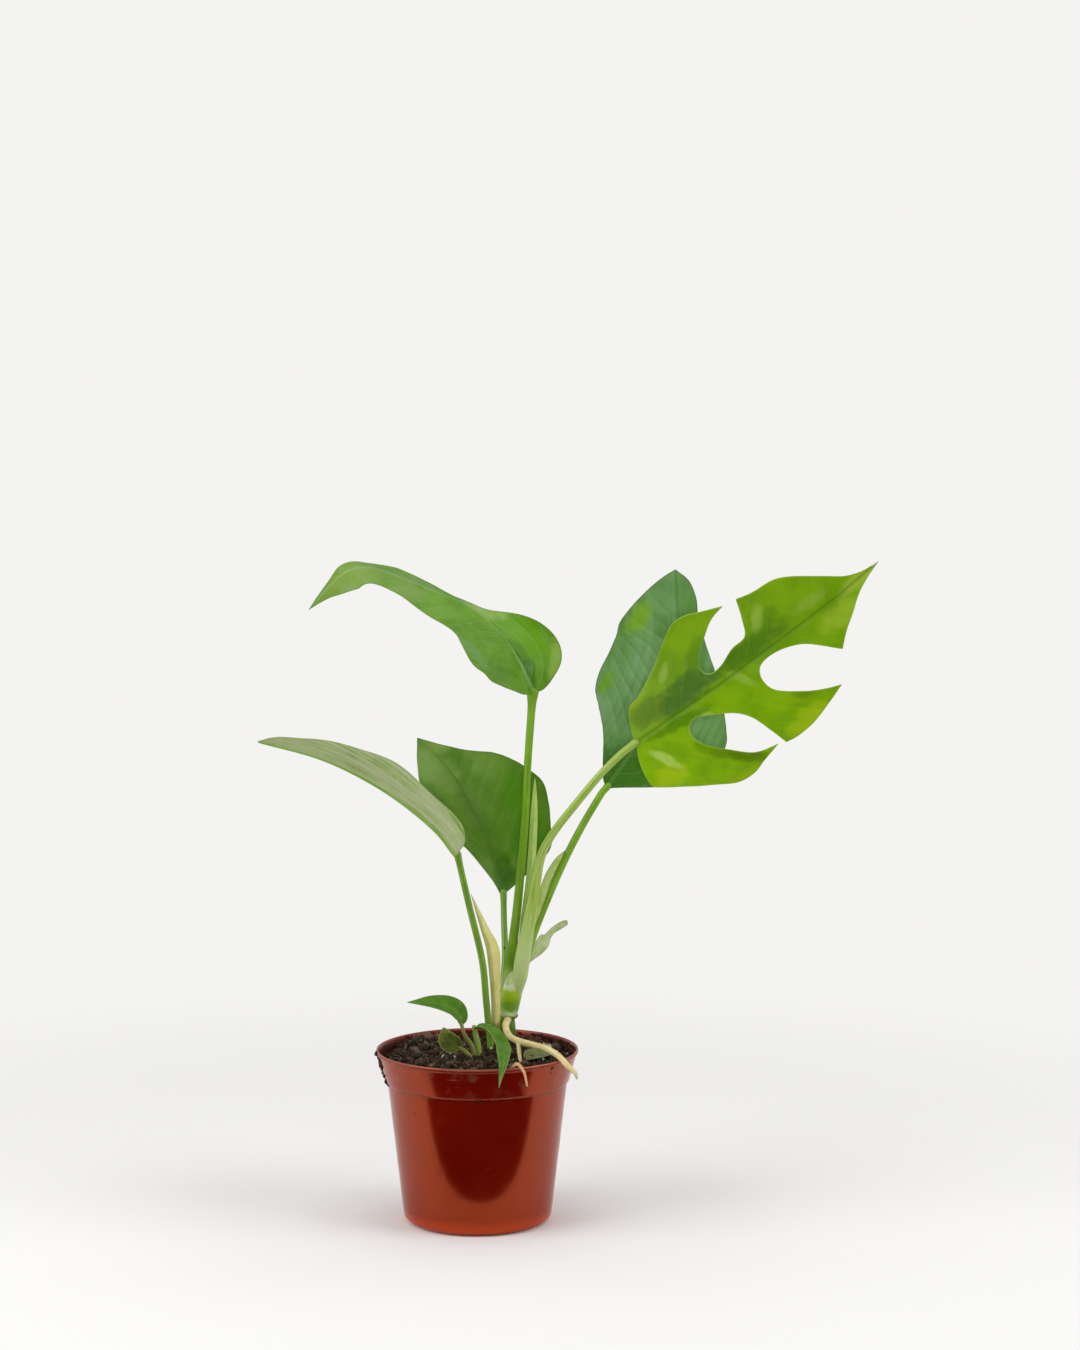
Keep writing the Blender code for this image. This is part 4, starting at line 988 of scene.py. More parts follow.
tube("long_stalk", "stalk_green", ["petiole_top_left"], STALK_TOP_LEFT, [2.9, 2.9, 2.6, 2.3, 2.2, 2.3, 2.4],
     green_stalk, shape=channelled(0.12, 0.012, 0.2, swollen=(177.0, 8.0, 0.55)), end_beyond=2.6,
     start_beyond=1.2)
tube("low_stalk", "stalk_green", ["petiole_low_left"], STALK_LOW_LEFT, [2.1, 2.1, 1.9], low_stalk,
     shape=channelled(0.12, 0.012, 0.05, swollen=(138.0, 5.0, 0.25)), end_beyond=2.5)
tube("split_stalk", "stalk_green", ["petiole_split"], STALK_SPLIT, SPLIT_STALK_RADII, pale_stalk, around=36,
     shape=channelled(0.16, 0.035, 0.62, count=11, swollen=(178.0, 5.0, 0.15)), end_beyond=2.6,
     rounded=(True, True))
tube("right_stalk", "stalk_green", ["petiole_right_back"], STALK_RIGHT_BACK, [2.3, 2.3, 2.2, 2.0],
     green_stalk, shape=channelled(0.12, 0.02, 0.4, swollen=(130.0, 5.0, 0.2)), end_beyond=2.5,
     start_beyond=1.2)
tube("back_stalk", "stalk_green", ["petiole_back"], STALK_BACK, [2.2, 2.0, 1.8], back_stalk,
     shape=channelled(0.1, 0.015, 0.6, swollen=(106.0, 5.0, 0.2)), end_beyond=2.2)

# %% [markdown]
# ## The stem
# All the long stalks leave one short length of stem. It is thicker than they are, pale and almost see-through
# at the top, with a raised scar ring below where an old leaf sat; the glow of light through its top and a
# bright ring of light near it are painted into its colour as well. The rings are part of the swept shape.

# %% Stem
STEM_ROUTE = [(18.6, 22, 80), (18.2, 22, 107), (17.0, 22, 116), (17.2, 22, 118.6), (17.5, 22, 120.4),
              (18.5, 22, 123), (20.2, 21.5, 131), (21.8, 21, 138), (22.3, 21, 141.6)]
STEM_RADII = [4.4, 4.6, 5.2, 6.7, 6.7, 6.0, 6.1, 5.7, 5.2]
SCAR = 39.6


def ringed(along, turns):
    """A raised scar ring with two thin lips, over fine lengthwise ribs."""
    ring = 1.0 + 0.01 * np.cos(2 * np.pi * 17 * turns) + 0.02 * np.cos(2 * np.pi * (2 * turns + along / 70.0))
    for place, width, amount in ((SCAR, 1.1, 0.07), (SCAR - 3.2, 0.7, 0.05), (SCAR + 21.0, 1.6, 0.05)):
        ring = ring + amount * math.exp(-((along - place) / width) ** 2)
    return ring


stem_skin, tree, shader = new_finish("stem_skin")
uneven = maths(tree, "MULTIPLY_ADD", grain(tree, 4.0), 4.0 * MM, height_above_floor(tree))
# Colour steps by height: the yellow-green steps near the top are painted glow and the near-white step above
# them a painted highlight; lower down the stem is darker.
height_colours_and_painted_light = put(tree, "ShaderNodeValToRGB", {0: between(tree, uneven, 104 * MM, 150 * MM)})
height_colours_and_painted_light.color_ramp.elements[0].color = (0.055, 0.115, 0.002, 1.0)
height_colours_and_painted_light.color_ramp.elements[0].position = 0.05
height_colours_and_painted_light.color_ramp.elements[1].color = (0.4, 0.5, 0.2, 1.0)
height_colours_and_painted_light.color_ramp.elements[1].position = 0.95
for spot, colour in ((0.27, (0.1, 0.22, 0.006)), (0.35, (0.42, 0.48, 0.24)), (0.43, (0.13, 0.28, 0.03)),
                     (0.55, (0.14, 0.31, 0.006)), (0.68, (0.3, 0.45, 0.0)), (0.78, (0.34, 0.48, 0.01)),
                     (0.84, (0.68, 0.74, 0.46))):
    height_colours_and_painted_light.color_ramp.elements.new(spot).color = (*colour, 1.0)
fibres = apply_effect(tree, STREAKS, "Streak", Width=0.6, Length=14.0)
colour = over(tree, height_colours_and_painted_light.outputs[0], (0.4, 0.52, 0.08), fibres, 0.15)
scuffs = apply_effect(tree, SPECKS, "Mask", Spacing=3.0, Size=0.26, Share=0.08)
colour = tint(tree, scuffs, colour, (0.12, 0.08, 0.03))
height = maths(tree, "MULTIPLY_ADD", apply_effect(tree, STREAKS, "Ridge", Width=0.6, Length=14.0), 1.0,
               maths(tree, "MULTIPLY", grain(tree, 0.5), 0.4))
rough = maths(tree, "MULTIPLY_ADD", grain(tree, 2.0, detail=4.0), 0.15, 0.3)
dress(tree, shader, colour, rough, height, relief=0.14, coat_weight=0.15, coat_roughness=0.2,
      specular_ior_level=0.3, subsurface_weight=0.3, subsurface_radius=LIGHT_PATHS, subsurface_scale=0.002)
tube("stem_joint", "stem_green", ["stem"], STEM_ROUTE, STEM_RADII, stem_skin, around=40, pitch=0.7,
     shape=ringed)

# %% [markdown]
# ## Sheaths and the old bract
# Each leaf was wrapped in a thin sheath before it opened. The sheaths still stand off the stalks as narrow
# strips: fresh ones pale green, the old one at the low left cream and drying brown along its edges. The
# bract behind the stem is a torn scrap of such a sheath. They are made as blades, only narrower.

# %% Sheath finish
def sheath_finish(name, base, light, dry, dry_share=0.7, streak=(0.5, 22.0), roughness=0.55, glow=0.4):
    """Pale lengthwise streaks on a thin skin that turns brown at its margin."""
    material, tree, shader = new_finish(name)
    fibres = apply_effect(tree, STREAKS, "Streak", Width=streak[0], Length=streak[1])
    cloud = apply_effect(tree, MOTTLE, "Mask", Size=9.0, Low=0.35, High=0.65)
    colour = tint(tree, cloud, base, light)
    colour = over(tree, colour, light, fibres, 0.55)
    drying = maths(tree, "MULTIPLY", grain(tree, 3.0, detail=4.0), 1.3)
    brown = between(tree, maths(tree, "SUBTRACT", stored(tree, "edge"), drying), 0.1, -0.6)
    colour = over(tree, colour, dry, brown, dry_share)
    height = maths(tree, "ADD", apply_effect(tree, STREAKS, "Ridge", Width=streak[0], Length=streak[1]),
                   maths(tree, "MULTIPLY", grain(tree, 1.2, detail=4.0), 0.6))
    dress(tree, shader, colour, roughness, height, relief=0.2, coat_weight=0.05, subsurface_weight=glow,
          subsurface_radius=LIGHT_PATHS, subsurface_scale=0.0016)
    return material


# %% Make a strip
def strip(name, slot, node, blade, runs, finish, pitch=0.8, curl=0.25, thickness=0.45, spine=0.8):
    """A narrow blade with almost no veins."""
    return leaf(name, slot, node, blade, runs, (finish, finish), pitch=pitch, vein_gap=6.0, vein_lean=4.0,
                quilt=0.1, wave=curl, rib_depth=0.1, rib_width=0.8, thickness=thickness, rib_thickness=spine,
                columns=(0.0, 0.5, 1.0))


# %% Three sheaths and the bract
cream_sheath = sheath_finish("sheath_cream_skin", (0.56, 0.5, 0.15), (0.64, 0.58, 0.24),
                             (0.46, 0.3, 0.17), 0.4)
fresh_sheath = sheath_finish("sheath_green_skin", (0.28, 0.42, 0.06), (0.4, 0.52, 0.15),
                             (0.3, 0.3, 0.08), 0.2)
edged_sheath = sheath_finish("sheath_edged_skin", (0.26, 0.38, 0.06), (0.4, 0.48, 0.16),
                             (0.2, 0.13, 0.05), 0.7)
bract_skin = sheath_finish("bract_skin", (0.28, 0.37, 0.13), (0.48, 0.51, 0.27), (0.3, 0.27, 0.12), 0.3,
                           roughness=0.7)

strip("long_sheath", "sheath_green", "sheath_top_left",
      Blade([(24.4, 19.8, 158), (27.2, 19.7, 175), (31.6, 19.4, 205), (33.6, 19.2, 235), (34.3, 19, 263)],
            fold_left=(-20,), fold_right=(-25,), half=6),
      [[(0, -0.6), (20, -2.0), (48, -2.6), (80, -2.4), (98, -1.2), (106, 0)],
       [(106, 0), (98, 1.2), (80, 2.4), (48, 2.6), (20, 2.0), (0, 0.6)], [(0, 0.6), (0, -0.6)]], fresh_sheath)
strip("cream_sheath", "sheath_cream", "sheath_low_left",
      Blade([(10.4, 9.4, 104.2), (10.6, 9.4, 130), (8.6, 9.5, 158), (3.8, 9, 173), (-4.0, 7.5, 195)],
            fold_left=(-20,), fold_right=(-30,), half=6),
      [[(0, -2.6), (24, -2.8), (50, -3.3), (68, -2.3), (82, -1.2), (93.5, 0)],
       [(93.5, 0), (82, 1.6), (68, 3.6), (55, 5.4), (42, 4.4), (24, 3.4), (0, 2.8)],
       [(0, 2.8), (0, -2.6)]], cream_sheath)
strip("right_sheath", "sheath_green", "sheath_right_back",
      Blade([(30.6, 24.0, 165), (36.4, 26.2, 182), (41.8, 29.0, 199), (47.0, 31.2, 209), (52.3, 32.4, 217)],
            fold_left=(-15,), fold_right=(-25,), half=6),
      [[(0, -0.8), (16, -2.0), (36, -2.9), (50, -2.2), (58, 0)],
       [(58, 0), (50, 1.6), (36, 2.4), (16, 1.8), (0, 0.8)], [(0, 0.8), (0, -0.8)]], edged_sheath)
strip("torn_bract", "bract_dry", "dry_bract",
      Blade([(30.2, 29.0, 149), (36.5, 34.5, 157), (43.6, 39.5, 166.6), (50.7, 40.5, 171.6),
             (57.7, 40.5, 172.8)],
            roll=(10,), fold_left=(20, 25, 40, 60, 40), fold_right=(-10,), half=8),
      [[(0, -0.6), (7, -2.6), (12, -5.0), (17, -5.6), (19, -5.0)],
       [(19, -5.0), (20.5, -2.4), (25, -2.0), (31, -2.8), (35.5, -2.2), (37, 0)],
       [(37, 0), (36.2, 2.6), (31, 3.6), (25, 3.0), (21, 3.4), (17, 4.8), (11, 4.0), (5, 2.0), (0, 0.6)],
       [(0, 0.6), (0, -0.6)]], bract_skin)

# %% [markdown]
# ## Young shoots
# Three shoots come up in front of the stem. The left one arches over the rim, the low one is a hollow
# little blade beside it, and the front one lies over the soil with its tip hanging past the rim. They are
# small copies of the grown leaves, with few veins.

# %% Young shoots
SHORT_STREAK = {"streak": (0.5, 12.0)}
shoot_stalk = fibrous_finish("shoot_stalk_skin", (0.11, 0.17, 0.01), (0.18, 0.24, 0.03), (0.32, 0.24, 0.1),
                             soil=0.08, **SHORT_STREAK)
light_stalk = fibrous_finish("shoot_light_skin", (0.16, 0.3, 0.02), (0.24, 0.38, 0.05), (0.34, 0.44, 0.13),
                             soil=0.05, **SHORT_STREAK)
shoot_upper = leaf_finish("shoot_leaf_upper", (0.045, 0.15, 0.001), (0.075, 0.2, 0.006), (0.14, 0.26, 0.05),
                          (0.13, 0.25, 0.04), (0.18, 0.22, 0.06), vein_share=0.2, fine_share=0.35,
                          fine_count=3.0, mottle=(7.0, 0.36, 0.64))
shoot_under = leaf_finish("shoot_leaf_under", (0.1, 0.2, 0.02), (0.16, 0.28, 0.05), (0.22, 0.34, 0.1),
                          (0.24, 0.36, 0.1), (0.2, 0.25, 0.07), roughness=0.5, mottle=(7.0, 0.36, 0.64))
olive_upper = leaf_finish("olive_leaf_upper", (0.06, 0.09, 0.006), (0.13, 0.16, 0.02), (0.2, 0.22, 0.06),
                          (0.16, 0.2, 0.04), (0.36, 0.3, 0.14), roughness=0.5, mottle=(5.0, 0.36, 0.64))

tube("shoot_left_rod", "stalk_green", ["shoot_left_stalk"],
     [(-1.3, -13.8, 88), (-1.7, -14, 101.8), (-2.9, -14, 107.2), (-7.2, -13.8, 113.8), (-8.8, -13.2, 118.8)],
     [1.5, 1.4, 1.1], shoot_stalk, around=14, pitch=0.8, end_beyond=1.6)
tube("shoot_low_rod", "stalk_green", ["shoot_low_stalk"],
     [(-3.6, -18.2, 88), (-3.8, -18.4, 100.4), (-6.2, -18.8, 104.4), (-8.6, -19.2, 106.6)],
     [1.6, 1.5, 1.1], shoot_stalk, around=14, pitch=0.8, end_beyond=1.2)
tube("shoot_front_rod", "stalk_green", ["shoot_front_stalk"],
     [(1.6, -11, 88), (1.0, -11.4, 103), (-0.4, -12.4, 112), (-1.4, -13.6, 117.0)],
     [2.0, 1.9, 1.3], light_stalk, around=16, pitch=0.8, end_beyond=1.8)

SHOOT_RELIEF = {"pitch": 0.75, "vein_gap": 6.0, "quilt": 0.14, "wave": 0.15, "rib_depth": 0.2,
                "rib_width": 0.7, "thickness": 0.45, "rib_thickness": 0.9, "columns": (0.0, 0.5, 1.0)}
leaf("shoot_left_blade", "leaf_mature", "shoot_left_leaf",
     Blade([(-9.0, -13.0, 119.4), (-9.6, -12.2, 124.6), (-14, -12, 129.6), (-25, -13.5, 132.8),
            (-40, -16, 134)],
           roll=(40, 45, 50, 55, 60), fold_left=(15, 20, 20, 15), fold_right=(15, 20, 20, 15), half=12),
     [[(0, -0.7), (3, -4), (9, -6.5), (17, -6.8), (27, -4.6), (35, -1.8), (40, 0)],
      [(40, 0), (35, 1.8), (27, 4.4), (17, 6.2), (9, 6.0), (3, 3.6), (0, 0.7)], [(0, 0.7), (0, -0.7)]],
     (shoot_upper, shoot_under), **SHOOT_RELIEF)
leaf("shoot_low_blade", "leaf_mature", "shoot_low_leaf",
     Blade([(-9.2, -19.4, 107.0), (-13.4, -20.2, 110.4), (-17.6, -20.4, 114.6), (-19.6, -19.6, 119)],
           roll=(-15,), fold_left=(30, 30, 20), fold_right=(10, 15, 10), half=10),
     [[(0, -0.7), (2, -4.2), (6, -7.2), (11, -6.2), (15, -2.4), (17, 0)],
      [(17, 0), (15, 2.2), (11, 4.8), (6, 5.4), (2, 3.6), (0, 0.7)], [(0, 0.7), (0, -0.7)]],
     (olive_upper, shoot_under), **SHOOT_RELIEF)
leaf("shoot_front_blade", "leaf_mature", "shoot_front_leaf",
     Blade([(-1.2, -14.9, 118.3), (2.6, -18.5, 119.2), (9.4, -28, 117.6), (15.4, -42, 112.4),
            (16.6, -57, 107.4), (14.6, -64, 99), (13.4, -64.6, 93)],
           roll=(0, -25, -30, -20, 10, 25, 25), fold_left=(20, 25, 20, 15), fold_right=(20, 25, 20, 15),
           half=12, facing=(0, -0.5, 0.86)),
     [[(0, -0.7), (4, -3.8), (12, -5.6), (24, -5.4), (38, -4.6), (50, -3.2), (59, -1.4), (66, 0)],
      [(66, 0), (59, 1.4), (50, 3.2), (38, 4.6), (24, 5.4), (12, 5.8), (4, 4.0), (0, 0.7)],
      [(0, 0.7), (0, -0.7)]],
     (shoot_upper, shoot_under), **SHOOT_RELIEF)
leaf("old_olive_leaf", "leaf_olive", "fallen_leaf",
     Blade([(29, -21, 101.0), (36, -10, 101.4), (43, 2, 101.0), (45.5, 7, 100.4)], fold_left=(10,),
           fold_right=(10,), half=8, facing=(0, -0.2, 0.98)),
     [[(0, -0.6), (4, -4.4), (10, -7.0), (18, -6.8), (26, -3.8), (31.5, 0)],
      [(31.5, 0), (26, 3.8), (18, 7.0), (10, 7.2), (4, 4.6), (0, 0.6)], [(0, 0.6), (0, -0.6)]],
     (olive_upper, olive_upper), **SHOOT_RELIEF)

# %% [markdown]
# ## Roots
# A climber sends roots out of its stem joints. The thick one here leaves the joint, lies over the soil
# and hangs over the rim with a grey growing tip; a branch dives into the soil. A thin pinkish root loops
# over the rim beside it. They are swept rods whose thickness wanders a little, with corky fine streaks.

# %% Roots
ROOT_ROUTE = [(17.6, 14.6, 116.6), (16.9, 7, 115.8), (17.4, 0, 113.6), (20.1, -8, 111.2), (25.5, -16, 110.4),
              (37.9, -27, 109.4), (43.7, -31.5, 107.9), (48.9, -36, 105.4), (53.5, -40, 101),
              (57.6, -43, 97.6), (58.7, -44, 94.6)]
ROOT_RADII = [2.2, 2.1, 2.0, 1.9, 1.9, 1.9, 1.9, 1.8, 1.7, 1.3, 0.7]
FORK_ROUTE = [(24.0, -13.6, 110.6), (24.6, -17, 109.0), (25.0, -20.5, 105), (25.6, -22, 101), (26.0, -23, 94)]
SIDE_ROUTE = [(20.0, -44, 91), (20.6, -49.5, 99.5), (21.9, -54.6, 104.3), (24.8, -58.6, 106.0),
              (28.2, -60.2, 101.4), (29.9, -60.4, 94.0)]


def knobbly(amount):
    """Slow swellings and shallow rings, as on a root that grew in spurts."""
    def shape(along, turns):
        swell = 0.6 * math.sin(along / 2.9) + 0.4 * math.sin(along / 1.3 + 1.0)
        return 1.0 + amount * (swell + 0.7 * np.sin(2 * np.pi * (3 * turns + along / 23.0)))
    return shape


root_skin = fibrous_finish("root_skin", (0.6, 0.48, 0.18), (0.74, 0.6, 0.27), (0.8, 0.72, 0.42),
                           streak=(0.8, 7.0), share=0.5, roughness=0.6, coat=0.0, soil=0.03,
                           low_end=(101, 95, (0.5, 0.47, 0.4)), relief=0.25, patch_size=6.0)
pink_root_skin = fibrous_finish("pink_root_skin", (0.56, 0.28, 0.12), (0.68, 0.4, 0.2), (0.74, 0.52, 0.32),
                                streak=(0.6, 5.0), share=0.5, roughness=0.6, coat=0.0, soil=0.03,
                                relief=0.2, patch_size=5.0)
tube("thick_root", "root_beige", ["aerial_root"], ROOT_ROUTE, ROOT_RADII, root_skin, around=22, pitch=0.7,
     shape=knobbly(0.035), rounded=(True, True), start_beyond=3.0)
tube("root_branch", "root_beige", [], FORK_ROUTE, [1.5, 1.2, 1.0], root_skin, around=14, pitch=0.7,
     shape=knobbly(0.05), rounded=(True, False))
tube("side_rootlet", "root_beige", ["side_root"], SIDE_ROUTE, [1.0, 0.9, 0.9, 0.9, 0.8, 0.5], pink_root_skin,
     around=14, pitch=0.6, shape=knobbly(0.06))

# %% [markdown]
# ## The pot
# The pot is one thin shell of glossy red-brown polypropylene, made in a mould. Its outline is a turned
# profile: a rolled lip, a slightly flared band, the ledge by which pots stack, a plain tapering wall, a
# rounded foot and a raised floor with eight drain holes. Turning a profile is how such a shape is drawn
# in Blender too. Every corner is rounded, because the thin bright lines on the lip and the ledge come
# from light that runs along those rounded corners; on the lip a painted highlight adds to it.

# %% Pot profile
RIM_RADIUS = 60.2
RIM_HEIGHT = 103.0
LEDGE_HEIGHT = 84.6
POT_STEPS = 216
DRAIN_HOLES = 8
DRAIN_RADIUS = 3.6
DRAIN_CIRCLE = 24.0


def rounded_profile(corners, steps=5):
    """Replace each (radius, height, rounding) corner by a small arc."""
    line = []
    places = [Vector(corner[:2]) for corner in corners]
    for index, corner in enumerate(corners):
        here = places[index]
        if corner[2] == 0 or index in (0, len(corners) - 1):
            line.append(here)
            continue
        back = places[index - 1] - here
        ahead = places[index + 1] - here
        cut = min(corner[2], 0.45 * back.length, 0.45 * ahead.length)
        start = here + back.normalized() * cut
        end = here + ahead.normalized() * cut
        for step in range(steps + 1):
            u = step / steps
            line.append(start * (1 - u) ** 2 + here * 2 * u * (1 - u) + end * u * u)
    return line


inner = [(0.0, 3.5, 0), (40.6, 3.5, 2.0), (43.3, 8.0, 3.0), (52.2, LEDGE_HEIGHT - 0.6, 0.6),
         (53.3, LEDGE_HEIGHT + 0.4, 0.6), (58.0, 100.8, 0.8), (58.7, 102.2, 0.6), (59.2, RIM_HEIGHT, 0.5)]
outer = [(RIM_RADIUS - 0.1, RIM_HEIGHT, 0.5), (RIM_RADIUS, 101.2, 0.5), (59.2, 100.4, 0.5),
         (54.75, LEDGE_HEIGHT, 0.45), (53.45, LEDGE_HEIGHT - 0.9, 0.5), (44.7, 8.0, 6.0), (43.9, 2.6, 2.6),
         (40.6, 0.0, 2.0), (35.2, 0.0, 0.8), (33.4, 2.0, 0.8), (14.2, 2.0, 0.8), (12.4, 0.0, 0.8),
         (4.0, 0.0, 0.3), (3.6, 0.6, 0.3), (0.0, 0.6, 0)]

# %% Pot shell
mesh = bpy.data.meshes.new("pot_shell")
line = rounded_profile(inner + outer)
mesh.from_pydata([(p.x * MM, 0.0, p.y * MM) for p in line], [(k, k + 1) for k in range(len(line) - 1)], [])
pot = settle("pot_shell", mesh, "pot_plastic", "pot")
screw = pot.modifiers.new("turn", "SCREW")
screw.steps = POT_STEPS
screw.render_steps = POT_STEPS
screw.use_merge_vertices = True
screw.merge_threshold = 0.00005
screw.use_normal_calculate = True
drills = []
for number in range(DRAIN_HOLES):
    angle = 2 * math.pi * number / DRAIN_HOLES
    hole = bpy.data.meshes.new("drain_hole")
    work = bmesh.new()
    bmesh.ops.create_cone(work, cap_ends=True, segments=36, radius1=DRAIN_RADIUS * MM,
                          radius2=DRAIN_RADIUS * MM, depth=8 * MM)
    work.to_mesh(hole)
    work.free()
    drill = in_scene("drain_hole", hole)
    drill.location = (DRAIN_CIRCLE * MM * math.cos(angle), DRAIN_CIRCLE * MM * math.sin(angle), 0.0025)
    cut = pot.modifiers.new("drain", "BOOLEAN")
    cut.operation = "DIFFERENCE"
    cut.solver = "EXACT"
    cut.object = drill
    drills.append(drill)
bpy.context.view_layer.update()
made_real(pot)
for drill in drills:
    bpy.data.objects.remove(drill, do_unlink=True)

# %% Slight unevenness of the moulded wall
for vertex in pot.data.vertices:
    x, y, z = vertex.co / MM
    if math.hypot(x, y) > 38.0:
        turn = math.atan2(y, x)
        sway = 0.10 * math.sin(2 * turn + 0.6)
        sway += 0.05 * math.sin(5 * turn + z / 21.0)
        sway += 0.04 * math.sin(z / 9.0)
        push = 1.0 + sway * min(z / 30.0, 1.0) / 50.0
        vertex.co = Vector((x * push, y * push, z)) * MM
print("pot uneven by about 0.15 mm")

# %% [markdown]
# ## Pot plastic
# The plastic is deep red-brown and mirrors its surroundings with a reddish tint. It has been handled:
# there are fine scratches on the band below the lip, a film of dust that dulls the gloss in patches, and
# specks of peat, most of them near the rim. Light and shade are painted in places too: a paler lip is a
# painted highlight, a brighter foot painted light from the floor, and a dark line under the ledge painted
# shade. The inside above the soil is darkened by a film that is partly peat stain and partly painted
# shade under the rim, and it is duller, so it gets a copy of the finish with less gloss.

# %% Pot finish
pot_plastic, tree, shader = new_finish("pot_red_brown")
level = height_above_floor(tree)
flow = grain(tree, 38.0, detail=2.0)
colour = tint(tree, between(tree, flow, 0.3, 0.7), (0.13, 0.0015, 0.0), (0.155, 0.0025, 0.0))
# Painted light: the foot is brighter, standing for light from the floor reflected in its rounded corner.
foot = between(tree, level, 11 * MM, 3 * MM)
colour = over(tree, colour, (0.4, 0.03, 0.003), foot, 0.8)
facing = put(tree, "ShaderNodeTexCoord").outputs["Normal"]
radial = put(tree, "ShaderNodeVectorMath", {0: own_place(tree), 1: facing},
             operation="DOT_PRODUCT").outputs["Value"]
inside = maths(tree, "MULTIPLY", between(tree, radial, 0.0, -0.02), between(tree, level, 80 * MM, 90 * MM))
# Painted shade: a dark line just under the ledge.
painted_shade_under_ledge = maths(tree, "MULTIPLY", between(tree, level, 82.2 * MM, 83.2 * MM),
                    between(tree, level, 84.3 * MM, 83.6 * MM))
colour = over(tree, colour, (0.02, 0.002, 0.0), painted_shade_under_ledge, 0.55)
# Painted highlight: the lip is paler.
lip = between(tree, level, (RIM_HEIGHT - 1.6) * MM, (RIM_HEIGHT - 0.5) * MM)
colour = over(tree, colour, (0.36, 0.12, 0.08), lip, 0.7)
dust = apply_effect(tree, MOTTLE, "Mask", Size=9.0, Low=0.5, High=0.75)
band = between(tree, level, 78 * MM, 95 * MM)
colour = over(tree, colour, (0.3, 0.17, 0.12), maths(tree, "MULTIPLY", dust, band), 0.18)
drawn_out = {0: own_place(tree), 2: (0.0, 0.25, 0.1), 3: (0.06, 0.06, 2.2)}
tilt = put(tree, "ShaderNodeMapping", drawn_out).outputs[0]
scratch = between(tree, grain(tree, 1.1, detail=2.0, roughness=0.4, where=tilt), 0.68, 0.74)
scratch = maths(tree, "MULTIPLY", scratch, between(tree, grain(tree, 16.0), 0.52, 0.7))
colour = over(tree, colour, (0.5, 0.28, 0.2), maths(tree, "MULTIPLY", scratch, band), 0.5)
fine_specks = apply_effect(tree, SPECKS, "Mask", Spacing=4.5, Size=0.09, Share=0.3)
colour = over(tree, colour, SOIL_SPECK, fine_specks, band)
# Partly peat stain and partly painted shade under the rim: the inside above the soil is darkened.
film = maths(tree, "MULTIPLY", inside, between(tree, grain(tree, 11.0), 0.3, 0.6, 0.35, 0.85))
colour = tint(tree, film, colour, (0.035, 0.01, 0.005))
rough = maths(tree, "MULTIPLY_ADD", dust, 0.12, 0.15)
rough = maths(tree, "MULTIPLY_ADD", inside, 0.3, rough)
rough = maths(tree, "MULTIPLY_ADD", scratch, 0.2, rough)
orange_peel = maths(tree, "MULTIPLY", grain(tree, 2.4, detail=2.0), 0.35)
orange_peel = maths(tree, "MULTIPLY_ADD", scratch, -0.8, orange_peel)
dress(tree, shader, colour, rough, orange_peel, relief=0.03, ior=2.55, specular_tint=(1.0, 0.22, 0.07, 1.0),
      coat_weight=0.06, coat_roughness=0.12)
pot.data.materials.clear()
pot.data.materials.append(pot_plastic)
DULL_IOR = 1.45
INSIDE_FROM = 80.0
pot_inside = pot_plastic.copy()
pot_inside.name = "pot_inside"
pot_inside.node_tree.nodes["Principled BSDF"].inputs["IOR"].default_value = DULL_IOR
pot.data.materials.append(pot_inside)
for face in pot.data.polygons:
    if face.center.z > INSIDE_FROM * MM and face.center.xy.dot(face.normal.xy) < 0:
        face.material_index = 1
print("pot finished")

# %% [markdown]
# ## Peat
# Potting peat is nearly black and crumbly, with brown fibres and white perlite. One displaced surface
# can't give loose crumbs, and a particle system wouldn't be exported, so the soil is three things: a
# body with a rough top, crumbs scattered over it as real lumps in one mesh, and a few fibres.

# %% Soil body
SOIL_EDGE_HEIGHT = 96.0
SOIL_DOME = 5.0
FIT_GAP = 0.32


def wall_radius(height):
    heights = [3.5, 5.0, 8.0, LEDGE_HEIGHT - 0.6, LEDGE_HEIGHT + 0.4, 100.8, RIM_HEIGHT]
    return float(np.interp(height, heights, [40.6, 42.6, 43.3, 52.2, 53.3, 58.0, 58.6]))


def soil_height(x, y):
    """A low dome, heaped round the stem, at its right and at the back left, with lumps on it."""
    out = min(math.hypot(x, y) / 57.0, 1.0)
    height = SOIL_EDGE_HEIGHT + SOIL_DOME * (1 - out * out)
    height += 3.2 * math.exp(-((x - 18) ** 2 + (y - 20) ** 2) / 300)
    height += 1.6 * math.exp(-((x - 42) ** 2 + (y - 22) ** 2) / 200)
    height += 5.0 * math.exp(-((x + 31) ** 2 + (y - 24) ** 2) / 240)
    height += 1.3 * noise.fractal(Vector((x, y, 7.0)) / 9.0, 0.8, 2.0, 3) * (1.0 if out < 0.97 else 0.4)
    lumps = noise.fractal(Vector((x, y, 3.0)) / 3.2, 0.9, 2.1, 4)
    return height + 0.9 * lumps * min(1.0, (1.02 - out) * 12)


